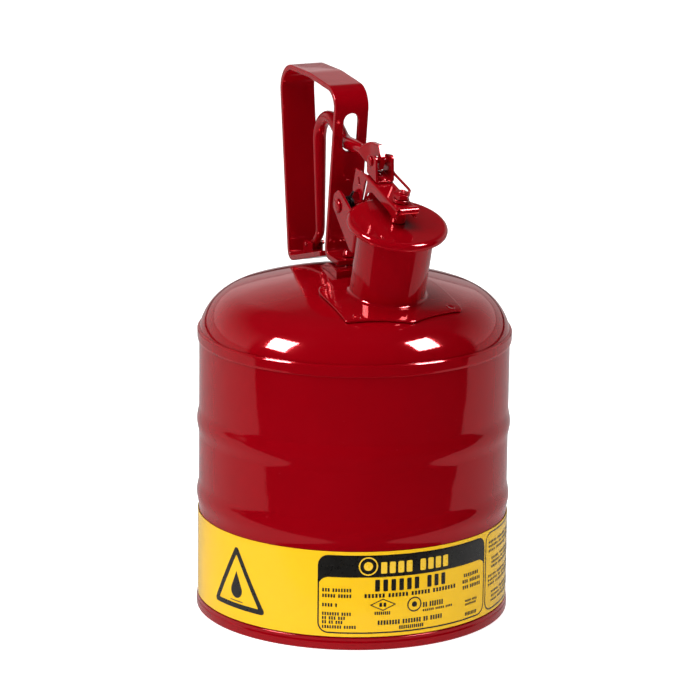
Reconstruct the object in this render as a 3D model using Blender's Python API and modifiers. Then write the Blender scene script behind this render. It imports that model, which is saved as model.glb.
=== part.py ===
"""One-gallon steel safety can with a strap handle, a squeeze trigger and a self-closing spout lid.

Units are metres, +Z is up.  The origin is the middle of the foot ring, the spout points to -Y and
the handle stands behind it.  The whole can is symmetric about x = 0 apart from a few small parts.
"""
import math

import bmesh
import bpy
from mathutils import Matrix, Vector

OBJECT_NAME = "safety_can"
GAP = 0.0003              # clearance between pieces that touch on the real object
WELD = 0.00001

# Driving dimensions of the shell.
WALL_RADIUS = 0.0903
SEAM_RADIUS = 0.0915
SHEET = 0.0008
ROUND_STEPS = 48
CHIME_TOP = 0.0076
SEAM_BOTTOM = 0.1603
SEAM_TOP = 0.1677
PANEL_HEIGHT = 0.0050
BEAD_CENTRES = (0.0687, 0.1125)
BEAD_HALF = 0.0090
LABEL_TOP = 0.0584
LABEL_SKIN = 0.0003

# The dome: a shallow crown that runs into a knuckle arc.
CROWN_RADIUS = 0.2340
APEX_HEIGHT = 0.2003
KNUCKLE_RADIUS = 0.0300
KNUCKLE_CENTRE = (0.0608, 0.1610)
KNUCKLE_START = math.atan2(KNUCKLE_CENTRE[0], KNUCKLE_CENTRE[1] - APEX_HEIGHT + CROWN_RADIUS)
CROWN_STEPS = 6
KNUCKLE_STEPS = 8

# The spout, in its own frame: s runs along its axis from the foot, v is square to it, to the rear.
NECK_FOOT = Vector((0.0, -0.0433, 0.1984))
NECK_TILT = math.radians(16.0)
NECK_RADIUS = 0.0217
NECK_BORE = 0.0205
NECK_TOP = 0.0396
DOME_HOLE = 0.0190
PLATE_SHEET = 0.0016
SCREEN_RADIUS = 0.0170
SCREEN_SHEET = 0.0008
SCREEN_DEPTH = 0.0380
LID_RADIUS = 0.02885
LID_TOP = 0.0448
BOLT_RADIUS = 0.0030
YOKE_TOP = 0.0570
YOKE_SHEET = 0.0012

# Lid hinge, trigger pivot and the pin that joins trigger and yoke, as (y, z) in the middle plane.
LID_AXIS = (-0.0050, 0.2410)
TRIGGER_AXIS = (0.0575, 0.2048)
LINK_PIN = (-0.0310, 0.2716)
LID_TRAVEL = math.radians(30.0)
TRIGGER_RATIO = 0.28
PIN_RADIUS = 0.0024
PIVOT_RADIUS = 0.0012
LINK_RADIUS = 0.0019

YOKE_TUBE_RADIUS = 0.0023
YOKE_TUBE_CENTRE = (-0.0680, 0.2498)
BOSS_HEIGHT = 0.0026
CLEVIS_FLOOR = YOKE_TOP + GAP + 0.0015
RIVET_PLACES = (0.0247, 0.0315)

# Handle strap: the ends of its two feet, as (y, z), and the screw through the front foot.
STRAP_HALF_WIDTH = 0.0105
STRAP_THICKNESS = 0.0032
REAR_FOOT_TIP = (0.0262, 0.2059)
REAR_FOOT_CORNER = (0.07175, 0.1932)
FRONT_FOOT_CORNER = (0.0194, 0.2064)
FRONT_FOOT_TIP = (0.0015, 0.2053)
SCREW_Y = 0.0085
SCREW_SEAT = 0.2077

# Tray under the front foot: its ends along y, its half widths there and its floor.
TRAY_FRONT = -0.0119
TRAY_REAR = 0.0243
TRAY_FRONT_HALF = 0.0175
TRAY_REAR_HALF = 0.0114
TRAY_FLOOR = 0.2032

# Trigger post and the widths of the linkage parts.
POST_Y = 0.0590
POST_RADIUS = 0.0064
FORK_GAP = 0.0031
YOKE_HALF_WIDTH = 0.0066
CLEVIS_HALF_WIDTH = 0.0058
CLEVIS_GAP = 0.0044
TAB_HALF_WIDTH = 0.0015
EAR_OUTSIDE = 0.0138
EAR_INSIDE = 0.0122
ROD_RADIUS = 0.0039

RED_ENAMEL = ("red_enamel", (0.30, 0.004, 0.008), 0.16, 0.0)
YELLOW_FILM = ("yellow_film", (0.92, 0.60, 0.02), 0.35, 0.0)
BLACK_STEEL = ("black_steel", (0.02, 0.02, 0.02), 0.35, 0.8)
PLAIN_STEEL = ("plain_steel", (0.55, 0.55, 0.56), 0.30, 1.0)
BLACK_RUBBER = ("black_rubber", (0.03, 0.03, 0.03), 0.75, 0.0)

SIDE_VIEW = Matrix(((0, 0, 1, 0), (1, 0, 0, 0), (0, 1, 0, 0), (0, 0, 0, 1)))
NECK_FRAME = Matrix.Translation(NECK_FOOT) @ Matrix.Rotation(NECK_TILT, 4, "X")


def clear_scene():
    for old in list(bpy.data.objects):
        bpy.data.objects.remove(old, do_unlink=True)


def new_collection(name):
    collection = bpy.data.collections.new(name)
    bpy.context.scene.collection.children.link(collection)
    return collection


def material(finish):
    name, colour, roughness, metallic = finish
    found = bpy.data.materials.get(name)
    if found:
        return found
    made = bpy.data.materials.new(name)
    made.use_nodes = True
    made.diffuse_color = (*colour, 1.0)
    shader = made.node_tree.nodes["Principled BSDF"]
    shader.inputs["Base Color"].default_value = (*colour, 1.0)
    shader.inputs["Roughness"].default_value = roughness
    shader.inputs["Metallic"].default_value = metallic
    return made


def place(thing, matrix, parent=None):
    """Put an object at a world matrix, under an empty that has a location only."""
    if parent is None:
        thing.matrix_world = matrix
        return
    thing.parent = parent
    thing.matrix_local = Matrix.Translation(-parent.location) @ matrix


def pivot(name, yz):
    empty = bpy.data.objects.new(name, None)
    empty.location = (0.0, yz[0], yz[1])
    empty.empty_display_size = 0.01
    PARTS.objects.link(empty)
    return empty


def keep(thing, finish):
    """Make an object a visible piece of the can."""
    thing.data.materials.clear()
    thing.data.materials.append(material(finish))
    for old in list(thing.users_collection):
        old.objects.unlink(thing)
    PARTS.objects.link(thing)
    thing.data.shade_smooth()
    thing.data.set_sharp_from_angle(angle=math.radians(35))
    return thing


def as_tool(thing):
    """Make an object a cutter or a shape that is joined to another one."""
    thing.hide_render = True
    thing.display_type = "WIRE"
    for old in list(thing.users_collection):
        old.objects.unlink(thing)
    TOOLS.objects.link(thing)
    return thing


def combine(thing, tool, operation):
    step = thing.modifiers.new(operation.lower() + "_" + tool.name, "BOOLEAN")
    step.object = as_tool(tool)
    step.operation = operation
    step.solver = "EXACT"
    return thing


def cut(thing, tool):
    return combine(thing, tool, "DIFFERENCE")


def turned(name, profile, matrix=None, parent=None, steps=ROUND_STEPS):
    """Turn a profile of (radius, height) pairs about Z.  A profile clear of the axis is a ring."""
    ring = all(radius > 0 for radius, height in profile)
    mesh = bpy.data.meshes.new(name)
    corners = [(radius, 0.0, height) for radius, height in profile]
    edges = [(i, i + 1) for i in range(len(corners) - 1)]
    if ring:
        edges.append((len(corners) - 1, 0))
    mesh.from_pydata(corners, edges, [])
    thing = bpy.data.objects.new(name, mesh)
    TOOLS.objects.link(thing)
    screw = thing.modifiers.new("turn", "SCREW")
    screw.steps = steps
    screw.render_steps = steps
    screw.use_merge_vertices = True
    screw.merge_threshold = WELD
    screw.use_smooth_shade = True
    place(thing, matrix or Matrix.Identity(4), parent)
    return thing


def solid_from_curve(curve_object, parent=None):
    """Turn a curve into a closed, welded mesh object of the same name and place."""
    name = curve_object.name
    matrix = curve_object.matrix_world.copy()
    bpy.context.view_layer.update()
    seen = curve_object.evaluated_get(bpy.context.evaluated_depsgraph_get())
    mesh = bpy.data.meshes.new_from_object(seen)
    bpy.data.objects.remove(curve_object, do_unlink=True)
    shape = bmesh.new()
    shape.from_mesh(mesh)
    bmesh.ops.remove_doubles(shape, verts=shape.verts, dist=WELD)
    bmesh.ops.recalc_face_normals(shape, faces=shape.faces)
    shape.to_mesh(mesh)
    shape.free()
    thing = bpy.data.objects.new(name, mesh)
    TOOLS.objects.link(thing)
    place(thing, matrix, parent)
    return thing


def slab(name, outline, half_thickness, frame, parent=None):
    """A flat outline in a frame's XY plane, thickened both ways along its Z."""
    curve = bpy.data.curves.new(name + "_outline", "CURVE")
    curve.dimensions = "2D"
    curve.fill_mode = "BOTH"
    curve.extrude = half_thickness
    spline = curve.splines.new("POLY")
    spline.points.add(len(outline) - 1)
    for point, (u, v) in zip(spline.points, outline):
        point.co = (u, v, 0.0, 1.0)
    spline.use_cyclic_u = True
    drawn = bpy.data.objects.new(name, curve)
    TOOLS.objects.link(drawn)
    drawn.matrix_world = frame
    return solid_from_curve(drawn, parent)


def wire(name, route, radius, parent=None, sizes=None, sides=2):
    """A round bar along a list of points, with an optional size factor at each point."""
    curve = bpy.data.curves.new(name + "_route", "CURVE")
    curve.dimensions = "3D"
    curve.bevel_depth = radius
    curve.bevel_resolution = sides
    curve.use_fill_caps = True
    spline = curve.splines.new("POLY")
    spline.points.add(len(route) - 1)
    for index, place_on_route in enumerate(route):
        spline.points[index].co = (*place_on_route, 1.0)
        spline.points[index].radius = sizes[index] if sizes else 1.0
    drawn = bpy.data.objects.new(name, curve)
    TOOLS.objects.link(drawn)
    return solid_from_curve(drawn, parent)


def bar_along_x(name, yz, radius, low, high, sides=24, parent=None):
    """A round bar along X between two x values."""
    mesh = bpy.data.meshes.new(name)
    shape = bmesh.new()
    bmesh.ops.create_cone(
        shape, cap_ends=True, segments=sides, radius1=radius, radius2=radius, depth=high - low
    )
    shape.to_mesh(mesh)
    shape.free()
    thing = bpy.data.objects.new(name, mesh)
    TOOLS.objects.link(thing)
    middle = Vector(((low + high) / 2, yz[0], yz[1]))
    place(thing, Matrix.Translation(middle) @ Matrix.Rotation(math.pi / 2, 4, "Y"), parent)
    return thing


def bar_along_axis(name, frame, v, radius, low, high, sides=24, parent=None):
    """A round or hexagonal bar along a frame's Z, set off by v along its Y."""
    mesh = bpy.data.meshes.new(name)
    shape = bmesh.new()
    bmesh.ops.create_cone(
        shape, cap_ends=True, segments=sides, radius1=radius, radius2=radius, depth=high - low
    )
    shape.to_mesh(mesh)
    shape.free()
    thing = bpy.data.objects.new(name, mesh)
    TOOLS.objects.link(thing)
    place(thing, frame @ Matrix.Translation((0.0, v, (low + high) / 2)), parent)
    return thing


def block(name, low, high, frame=None):
    """A box between two corners of a frame."""
    mesh = bpy.data.meshes.new(name)
    shape = bmesh.new()
    bmesh.ops.create_cube(shape, size=1.0)
    bmesh.ops.scale(shape, vec=[b - a for a, b in zip(low, high)], verts=shape.verts)
    shape.to_mesh(mesh)
    shape.free()
    thing = bpy.data.objects.new(name, mesh)
    TOOLS.objects.link(thing)
    middle = Vector([(a + b) / 2 for a, b in zip(low, high)])
    place(thing, (frame or Matrix.Identity(4)) @ Matrix.Translation(middle))
    return thing


def rounded(corners, closed=True, arc_steps=5):
    """Replace each corner (u, v, radius) of a path by an arc of that radius."""
    path = []
    count = len(corners)
    for index, (u, v, radius) in enumerate(corners):
        here = Vector((u, v))
        if radius == 0 or (not closed and index in (0, count - 1)):
            path.append((u, v))
            continue
        back = (Vector(corners[index - 1][:2]) - here).normalized()
        ahead = (Vector(corners[(index + 1) % count][:2]) - here).normalized()
        half = back.angle(ahead) / 2
        centre = here + (back + ahead).normalized() * (radius / math.sin(half))
        start = here + back * (radius / math.tan(half)) - centre
        turn = start.angle_signed(here + ahead * (radius / math.tan(half)) - centre)
        for step in range(arc_steps + 1):
            spoke = start.copy()
            spoke.rotate(Matrix.Rotation(-turn * step / arc_steps, 2))
            path.append(tuple(centre + spoke))
    return path


def strip(path, half_width, round_ends=False):
    """The closed outline of a band that follows an open path."""
    left = []
    right = []
    for index, (u, v) in enumerate(path):
        before = Vector(path[max(index - 1, 0)])
        after = Vector(path[min(index + 1, len(path) - 1)])
        ahead = (after - before).normalized()
        side = Vector((-ahead.y, ahead.x)) * half_width
        left.append((u + side.x, v + side.y))
        right.append((u - side.x, v - side.y))
    if not round_ends:
        return left + right[::-1]
    return left + half_circle(path[-1], left[-1]) + right[::-1] + half_circle(path[0], right[0])


def half_circle(centre, start):
    """Points inside a half turn, clockwise about a centre from a starting point."""
    spoke = Vector(start) - Vector(centre)
    first = math.degrees(math.atan2(spoke.y, spoke.x))
    return arc(centre, spoke.length, first, first - 180, 8)[1:-1]


def arc(centre, radius, first, last, steps):
    """Points on an arc, with its angles in degrees."""
    angles = [math.radians(first + (last - first) * i / steps) for i in range(steps + 1)]
    return [(centre[0] + radius * math.cos(a), centre[1] + radius * math.sin(a)) for a in angles]


# ---------------------------------------------------------------- the shell



def crown_point(angle, lift):
    reach = CROWN_RADIUS + lift
    return (reach * math.sin(angle), APEX_HEIGHT - CROWN_RADIUS + reach * math.cos(angle))


def knuckle_point(angle, lift):
    reach = KNUCKLE_RADIUS + lift
    return (KNUCKLE_CENTRE[0] + reach * math.sin(angle), KNUCKLE_CENTRE[1] + reach * math.cos(angle))


def dome_curve(lift, last_angle):
    """The dome's profile from the middle outwards, lifted by an even thickness."""
    crown = [crown_point(KNUCKLE_START * i / CROWN_STEPS, lift) for i in range(CROWN_STEPS + 1)]
    crown[0] = (0.0, crown[0][1])
    spread = last_angle - KNUCKLE_START
    knuckle = [
        knuckle_point(KNUCKLE_START + spread * i / KNUCKLE_STEPS, lift)
        for i in range(1, KNUCKLE_STEPS + 1)
    ]
    return crown + knuckle


def crown_block(name, lift):
    """A solid that fills everything under the crown, lifted by an amount."""
    stations = [KNUCKLE_START * i / CROWN_STEPS for i in range(CROWN_STEPS + 2)]
    profile = [crown_point(angle, lift) for angle in stations]
    profile[0] = (0.0, profile[0][1])
    return turned(name, profile + [(profile[-1][0], 0.15), (0.0, 0.15)])


def bead_bulge(height):
    bulge = 0.0
    for centre in BEAD_CENTRES:
        if abs(height - centre) < BEAD_HALF:
            bulge = (SEAM_RADIUS - WALL_RADIUS) * math.cos(math.pi * (height - centre) / 2 / BEAD_HALF) ** 2
    return bulge


def make_bottom_pan():
    inside = WALL_RADIUS - SHEET - 0.0004
    outside = WALL_RADIUS + GAP
    leg_top = CHIME_TOP - 0.0002
    profile = [
        (0.0, PANEL_HEIGHT + SHEET), (inside - 0.0017, PANEL_HEIGHT + SHEET),
        (inside - SHEET, leg_top), (inside, leg_top), (inside, 0.0009), (outside, 0.0009),
        (outside, leg_top), (outside + 0.0004, CHIME_TOP), (SEAM_RADIUS, CHIME_TOP - 0.0005),
        (SEAM_RADIUS, 0.0007), (SEAM_RADIUS - 0.0006, 0.0), (inside - 0.0006, 0.0),
        (inside - 0.0015, 0.0008), (inside - 0.0021, PANEL_HEIGHT), (0.0, PANEL_HEIGHT),
    ]
    return keep(turned("bottom_pan", profile), RED_ENAMEL)


def make_body_shell():
    bottom = 0.0012
    top = SEAM_TOP - 0.0011
    heights = [top]
    for centre in reversed(BEAD_CENTRES):
        heights += [centre + BEAD_HALF * step / 3 for step in (3, 2, 1, 0, -1, -2, -3)]
    heights.append(bottom)
    outer = [(WALL_RADIUS + bead_bulge(height), height) for height in heights]
    inner = [(radius - SHEET, height) for radius, height in reversed(outer)]
    return keep(turned("body_shell", outer + inner), RED_ENAMEL)


def make_top_dome():
    rim_angle = math.acos((SEAM_TOP - KNUCKLE_CENTRE[1]) / KNUCKLE_RADIUS)
    inside = WALL_RADIUS - SHEET - 0.0004
    skirt = inside - SHEET
    skirt_angle = math.asin((skirt - KNUCKLE_CENTRE[0]) / (KNUCKLE_RADIUS - SHEET))
    outside = WALL_RADIUS + GAP
    roof = SEAM_TOP - SHEET
    seam = [
        (SEAM_RADIUS - 0.0005, SEAM_TOP), (SEAM_RADIUS, SEAM_TOP - 0.0005),
        (SEAM_RADIUS, SEAM_BOTTOM + 0.0005), (SEAM_RADIUS - 0.0005, SEAM_BOTTOM),
        (outside, SEAM_BOTTOM), (outside, roof), (inside, roof), (inside, SEAM_BOTTOM + 0.0002),
        (skirt, SEAM_BOTTOM + 0.0002),
    ]
    profile = dome_curve(0.0, rim_angle) + seam + dome_curve(-SHEET, skirt_angle)[::-1]
    dome = keep(turned("top_dome", profile), RED_ENAMEL)
    return cut(dome, bar_along_axis("dome_bore", NECK_FRAME, 0.0, DOME_HOLE, -0.02, 0.02, 32))


def make_label_band():
    inner = WALL_RADIUS + GAP
    outer = inner + LABEL_SKIN
    bottom = CHIME_TOP + GAP
    profile = [(outer, LABEL_TOP), (outer, bottom), (inner, bottom), (inner, LABEL_TOP)]
    return keep(turned("label_band", profile), YELLOW_FILM)


# ---------------------------------------------------------------- the spout

def make_neck_plate():
    stations = [KNUCKLE_START * i / CROWN_STEPS for i in range(CROWN_STEPS + 2)]
    upper = [crown_point(angle, GAP + PLATE_SHEET) for angle in stations]
    lower = [crown_point(angle, GAP) for angle in stations]
    upper[0] = (0.0, upper[0][1])
    lower[0] = (0.0, lower[0][1])
    plate = keep(turned("neck_plate", upper + lower[::-1]), RED_ENAMEL)
    outline = rounded([
        (0.0363, -0.0660, 0.0025), (0.0365, -0.0160, 0.0170), (-0.0365, -0.0160, 0.0170),
        (-0.0363, -0.0660, 0.0025), (0.0, -0.0770, 0.0100),
    ])
    stamp = slab("plate_outline", outline, 0.03, Matrix.Translation((0.0, 0.0, 0.19)))
    combine(plate, stamp, "INTERSECT")
    return cut(plate, bar_along_axis("plate_bore", NECK_FRAME, 0.0, DOME_HOLE, -0.02, 0.02, 32))


def make_spout_neck():
    lip = NECK_RADIUS + 0.0009
    foot = NECK_RADIUS + 0.0015
    profile = [
        (NECK_RADIUS + 0.0002, NECK_TOP), (lip, NECK_TOP - 0.0005), (lip, NECK_TOP - 0.0017),
        (NECK_RADIUS, NECK_TOP - 0.0026), (NECK_RADIUS, 0.0030), (NECK_RADIUS + 0.0007, 0.0008),
        (foot, -0.0005), (foot, -0.0080), (NECK_BORE, -0.0080), (NECK_BORE, NECK_TOP),
    ]
    neck = keep(turned("spout_neck", profile, NECK_FRAME, steps=40), RED_ENAMEL)
    return cut(neck, crown_block("neck_seat", GAP + PLATE_SHEET + GAP))


def make_flame_arrester():
    ring_inside = SCREEN_RADIUS + GAP
    ring_outside = NECK_BORE - GAP
    ring = [
        (ring_outside, 0.0389), (ring_outside, 0.0355), (ring_inside, 0.0355), (ring_inside, 0.0389),
    ]
    keep(turned("arrester_ring", ring, NECK_FRAME, steps=32), PLAIN_STEEL)
    screen_inside = SCREEN_RADIUS - SCREEN_SHEET
    screen = [
        (SCREEN_RADIUS, 0.0380), (SCREEN_RADIUS, -SCREEN_DEPTH), (screen_inside, -SCREEN_DEPTH),
        (screen_inside, 0.0380),
    ]
    keep(turned("flame_arrester_screen", screen, NECK_FRAME, steps=32), PLAIN_STEEL)
    top = -SCREEN_DEPTH - GAP
    cap = [(0.0, top), (SCREEN_RADIUS, top), (SCREEN_RADIUS, top - SHEET), (0.0, top - SHEET)]
    keep(turned("arrester_cap", cap, NECK_FRAME, steps=32), PLAIN_STEEL)


def make_hinge_bracket():
    """Two ears behind the spout, joined by a web that lies against it."""
    back = NECK_RADIUS + GAP
    ears = rounded([
        (0.0183, 0.0310, 0.0), (0.0183, 0.0130, 0.0), (0.0250, 0.0130, 0.0040),
        (0.0555, 0.0265, 0.0040), (0.0562, 0.0345, 0.0050), (0.0510, 0.0398, 0.0050),
        (0.0330, 0.0357, 0.0200), (0.0245, 0.0336, 0.0040),
    ])
    bracket = keep(slab("hinge_bracket", ears, EAR_OUTSIDE, NECK_FRAME @ SIDE_VIEW), RED_ENAMEL)
    front = block("bracket_front", (-EAR_INSIDE, 0.005, 0.0), (EAR_INSIDE, back, 0.06), NECK_FRAME)
    rear_start = back + 0.0015
    rear = block("bracket_rear", (-EAR_INSIDE, rear_start, 0.0), (EAR_INSIDE, 0.08, 0.06), NECK_FRAME)
    cut(bracket, front)
    cut(bracket, rear)
    return cut(bracket, bar_along_x("bracket_bore", LID_AXIS, PIN_RADIUS + GAP, -0.02, 0.02))


def make_hinge_pin():
    head = EAR_OUTSIDE + GAP
    profile = [
        (0.0, head + 0.0013), (0.0030, head + 0.0010), (0.0042, head), (PIN_RADIUS, head),
        (PIN_RADIUS, -head), (0.0042, -head), (0.0030, -head - 0.0010), (0.0, -head - 0.0013),
    ]
    across = Matrix.Translation((0.0, *LID_AXIS)) @ Matrix.Rotation(math.pi / 2, 4, "Y")
    return keep(turned("hinge_pin", profile, across, steps=24), RED_ENAMEL)


def make_hinge_spring():
    """A closely wound torsion spring on the pin, with one leg down the ear and one leg forward."""
    wire_radius = 0.0007
    coil_radius = 0.0038
    turns = 3.25
    points_per_turn = 12
    near, far = -0.0113, -0.0075
    total = int(turns * points_per_turn)
    route = [(near, LID_AXIS[0] - 0.0105, LID_AXIS[1] - 0.0125)]
    for step in range(total + 1):
        angle = math.radians(-45) + 2 * math.pi * step / points_per_turn
        x = near + (far - near) * step / total
        y = LID_AXIS[0] + coil_radius * math.cos(angle)
        route.append((x, y, LID_AXIS[1] + coil_radius * math.sin(angle)))
    route.append((far, route[-1][1] - 0.0045, route[-1][2] + 0.0045))
    return keep(wire("hinge_spring", route, wire_radius, sides=1), BLACK_STEEL)


# ---------------------------------------------------------------- handle and its base

def make_base_plate():
    """A shallow tray on the dome that widens to the front and holds the handle's front foot."""
    profile = [
        (TRAY_FRONT, 0.1950), (TRAY_REAR, 0.1950), (TRAY_REAR, 0.1990), (0.0085, 0.2045),
        (TRAY_FRONT, 0.2040),
    ]
    tray = keep(slab("handle_base_plate", profile, TRAY_FRONT_HALF, SIDE_VIEW), RED_ENAMEL)
    combine(tray, tray_stamp("tray_outline", 0.0, 0.1900), "INTERSECT")
    cut(tray, tray_stamp("tray_pocket", 0.0016, TRAY_FLOOR))
    cut(tray, crown_block("tray_seat", GAP))
    return cut(tray, vertical_bore("tray_screw_bore", SCREW_Y, 0.0023))


def tray_stamp(name, inset, bottom):
    """The tray's plan, drawn in by a wall's thickness, as a block that starts at a height."""
    outline = [
        (TRAY_FRONT_HALF - inset, TRAY_FRONT + inset), (TRAY_REAR_HALF - inset, TRAY_REAR + 0.001),
        (inset - TRAY_REAR_HALF, TRAY_REAR + 0.001), (inset - TRAY_FRONT_HALF, TRAY_FRONT + inset),
    ]
    return slab(name, outline, 0.01, Matrix.Translation((0.0, 0.0, bottom + 0.01)))


def vertical_bore(name, y, radius):
    return bar_along_axis(name, Matrix.Identity(4), y, radius, 0.18, 0.22, 16)


def strap_path():
    """Middle line of the handle strap in the middle plane, from the rear foot to the front foot."""
    corners = [
        (*REAR_FOOT_TIP, 0.0), (*REAR_FOOT_CORNER, 0.0045), (0.08655, 0.3084, 0.0145),
        (0.0450, 0.3084, 0.0600), (0.0070, 0.3043, 0.0110), (*FRONT_FOOT_CORNER, 0.0045),
        (*FRONT_FOOT_TIP, 0.0),
    ]
    return rounded(corners, closed=False)


def make_handle_strap():
    outline = strip(strap_path(), STRAP_THICKNESS / 2)
    strap = keep(slab("handle_strap", outline, STRAP_HALF_WIDTH, SIDE_VIEW), RED_ENAMEL)
    slot_half = 0.00475
    low, high = 0.26880 + slot_half, 0.29180 - slot_half
    slot = arc((0.0, high), slot_half, 0, 180, 8) + arc((0.0, low), slot_half, 180, 360, 8)
    facing = Matrix.Translation((0.0, 0.011, 0.0)) @ Matrix.Rotation(math.pi / 2, 4, "X")
    cut(strap, slab("rod_slot", slot, 0.012, facing))
    cut(strap, vertical_bore("strap_screw_bore", SCREW_Y, 0.0023))
    return cut(strap, vertical_bore("strap_post_bore", POST_Y, 0.0023))


def make_handle_screw():
    profile = [
        (0.0, SCREW_SEAT + 0.0042), (0.0028, SCREW_SEAT + 0.0038), (0.0042, SCREW_SEAT + 0.0022),
        (0.0044, SCREW_SEAT), (0.0020, SCREW_SEAT), (0.0020, 0.2012), (0.0, 0.2012),
    ]
    place_of_screw = Matrix.Translation((0.0, SCREW_Y, 0.0))
    return keep(turned("handle_screw", profile, place_of_screw, steps=20), RED_ENAMEL)


def foot_frame():
    """A frame on the rear foot's middle line: its Y runs down the foot to the rear."""
    rise = math.atan2(REAR_FOOT_TIP[1] - REAR_FOOT_CORNER[1], REAR_FOOT_CORNER[0] - REAR_FOOT_TIP[0])
    return Matrix.Translation((0.0, *REAR_FOOT_CORNER)) @ Matrix.Rotation(-rise, 4, "X")


def make_trigger_post():
    """A hexagonal post with a fork for the trigger's lower end, on the handle's rear foot."""
    base, top = 0.1950, TRIGGER_AXIS[1] + 0.0010
    flat_to_x = Matrix.Rotation(math.radians(30), 4, "Z")
    stand = Matrix.Translation((0.0, POST_Y, 0.0)) @ flat_to_x
    post = keep(bar_along_axis("trigger_post", stand, 0.0, POST_RADIUS, base, top, 6), RED_ENAMEL)
    seat = STRAP_THICKNESS / 2 + GAP
    cut(post, block("post_seat", (-0.02, -0.04, -0.03), (0.02, 0.03, seat), foot_frame()))
    low = (-FORK_GAP, POST_Y - 0.02, TRIGGER_AXIS[1] - 0.0033)
    cut(post, block("fork_gap", low, (FORK_GAP, POST_Y + 0.02, top + 0.01)))
    stud = bar_along_axis("post_stud", stand, 0.0, 0.0019, 0.1955, 0.2010, 12)
    combine(post, stud, "UNION")
    return cut(post, bar_along_x("post_bore", TRIGGER_AXIS, PIVOT_RADIUS + GAP, -0.02, 0.02, 16))


def make_trigger_pivot_pin():
    end = 0.0060
    profile = [(0.0, end), (PIVOT_RADIUS, end), (PIVOT_RADIUS, -end), (0.0, -end)]
    across = Matrix.Translation((0.0, *TRIGGER_AXIS)) @ Matrix.Rotation(math.pi / 2, 4, "Y")
    return keep(turned("trigger_pivot_pin", profile, across, steps=16), PLAIN_STEEL)


# ---------------------------------------------------------------- trigger

def turned_about(point, axis, angle):
    """A point (y, z) after its top is swung to the rear about an axis by an angle."""
    y, z = point[0] - axis[0], point[1] - axis[1]
    swung = (y * math.cos(angle) + z * math.sin(angle), -y * math.sin(angle) + z * math.cos(angle))
    return (axis[0] + swung[0], axis[1] + swung[1])


def link_pin_in_trigger(lid_angle):
    """Where the link pin, carried by the yoke, lies in the trigger's own frame."""
    in_can = turned_about(LINK_PIN, LID_AXIS, lid_angle)
    return turned_about(in_can, TRIGGER_AXIS, -lid_angle * TRIGGER_RATIO)


def make_trigger_rod(parent):
    corners = [
        (TRIGGER_AXIS[0], TRIGGER_AXIS[1], 0.0), (0.0510, 0.2130, 0.0080), (0.0553, 0.2980, 0.0150),
        (0.0170, 0.2735, 0.0180), (-0.0220, 0.2735, 0.0),
    ]
    middle = rounded(corners, closed=False, arc_steps=7)
    tail = (TRIGGER_AXIS[0] + 0.0008, TRIGGER_AXIS[1] - 0.0016)
    route = [(0.0, y, z) for y, z in [tail] + middle]
    slim, full = 0.70, 1.0
    sizes = []
    for x, y, z in route:
        share = min(max((z - 0.215) / 0.040, 0.0), 1.0)
        sizes.append(slim + (full - slim) * share)
    rod = keep(wire("trigger_rod", route, ROD_RADIUS, parent, sizes), RED_ENAMEL)
    tab = slab("trigger_tab", rounded([
        (-0.0160, 0.2705, 0.0), (-0.0195, 0.2664, 0.0010), (-0.0330, 0.2664, 0.0010),
        (-0.0352, 0.2735, 0.0), (-0.0352, 0.2801, 0.0010), (-0.0225, 0.2801, 0.0030),
        (-0.0160, 0.2765, 0.0),
    ]), TAB_HALF_WIDTH, SIDE_VIEW)
    combine(rod, tab, "UNION")
    pin_path = [link_pin_in_trigger(LID_TRAVEL * share / 6) for share in range(7)]
    slot = strip(pin_path, LINK_RADIUS + 0.0004, round_ends=True)
    cut(rod, slab("cam_slot", slot, 0.01, SIDE_VIEW))
    return cut(rod, bar_along_x("rod_bore", TRIGGER_AXIS, PIVOT_RADIUS + GAP, -0.02, 0.02, 16))


# ---------------------------------------------------------------- lid, yoke and clevis

def in_row(v, s):
    """A point (v, s) of the spout's frame as (y, z)."""
    there = NECK_FRAME @ Vector((0.0, v, s))
    return (there.y, there.z)


def make_lid_cap(parent):
    rim_centre = (LID_RADIUS - 0.0027, LID_TOP - 0.0027)
    rim = arc(rim_centre, 0.0027, 90, -70, 7)
    under = LID_TOP - YOKE_SHEET
    inside = 0.0252
    profile = [(BOLT_RADIUS + GAP, LID_TOP)] + rim + [
        (inside, rim[-1][1] + 0.0003), (inside, under), (BOLT_RADIUS + GAP, under),
    ]
    return keep(turned("lid_cap", profile, NECK_FRAME, parent, 40), RED_ENAMEL)


def make_washer(name, outer, bottom, top, finish, parent, steps=32):
    bore = BOLT_RADIUS + GAP
    profile = [(outer, top), (outer, bottom), (bore, bottom), (bore, top)]
    return keep(turned(name, profile, NECK_FRAME, parent, steps), finish)


def make_lid_stack(parent):
    """Gasket, retainer, nut, bush and boss: everything threaded on the lid bolt."""
    gasket_bottom = NECK_TOP + GAP
    gasket_top = LID_TOP - YOKE_SHEET - GAP
    make_washer("lid_gasket", 0.0249, gasket_bottom, gasket_top, BLACK_RUBBER, parent)
    retainer_top = gasket_bottom - GAP
    retainer_bottom = retainer_top - 0.0012
    make_washer("gasket_retainer", 0.0150, retainer_bottom, retainer_top, PLAIN_STEEL, parent)
    nut_top = retainer_bottom - GAP
    nut = bar_along_axis("lid_nut", NECK_FRAME, 0.0, 0.0052, nut_top - 0.0036, nut_top, 6, parent)
    bore = bar_along_axis("nut_bore", NECK_FRAME, 0.0, BOLT_RADIUS + GAP, 0.030, 0.040, 20)
    cut(keep(nut, PLAIN_STEEL), bore)
    make_washer("lid_bush", 0.0046, LID_TOP + GAP, YOKE_TOP - YOKE_SHEET - GAP, RED_ENAMEL, parent, 20)
    make_washer("lid_boss", 0.0047, YOKE_TOP + GAP, YOKE_TOP + BOSS_HEIGHT, RED_ENAMEL, parent, 20)


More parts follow.
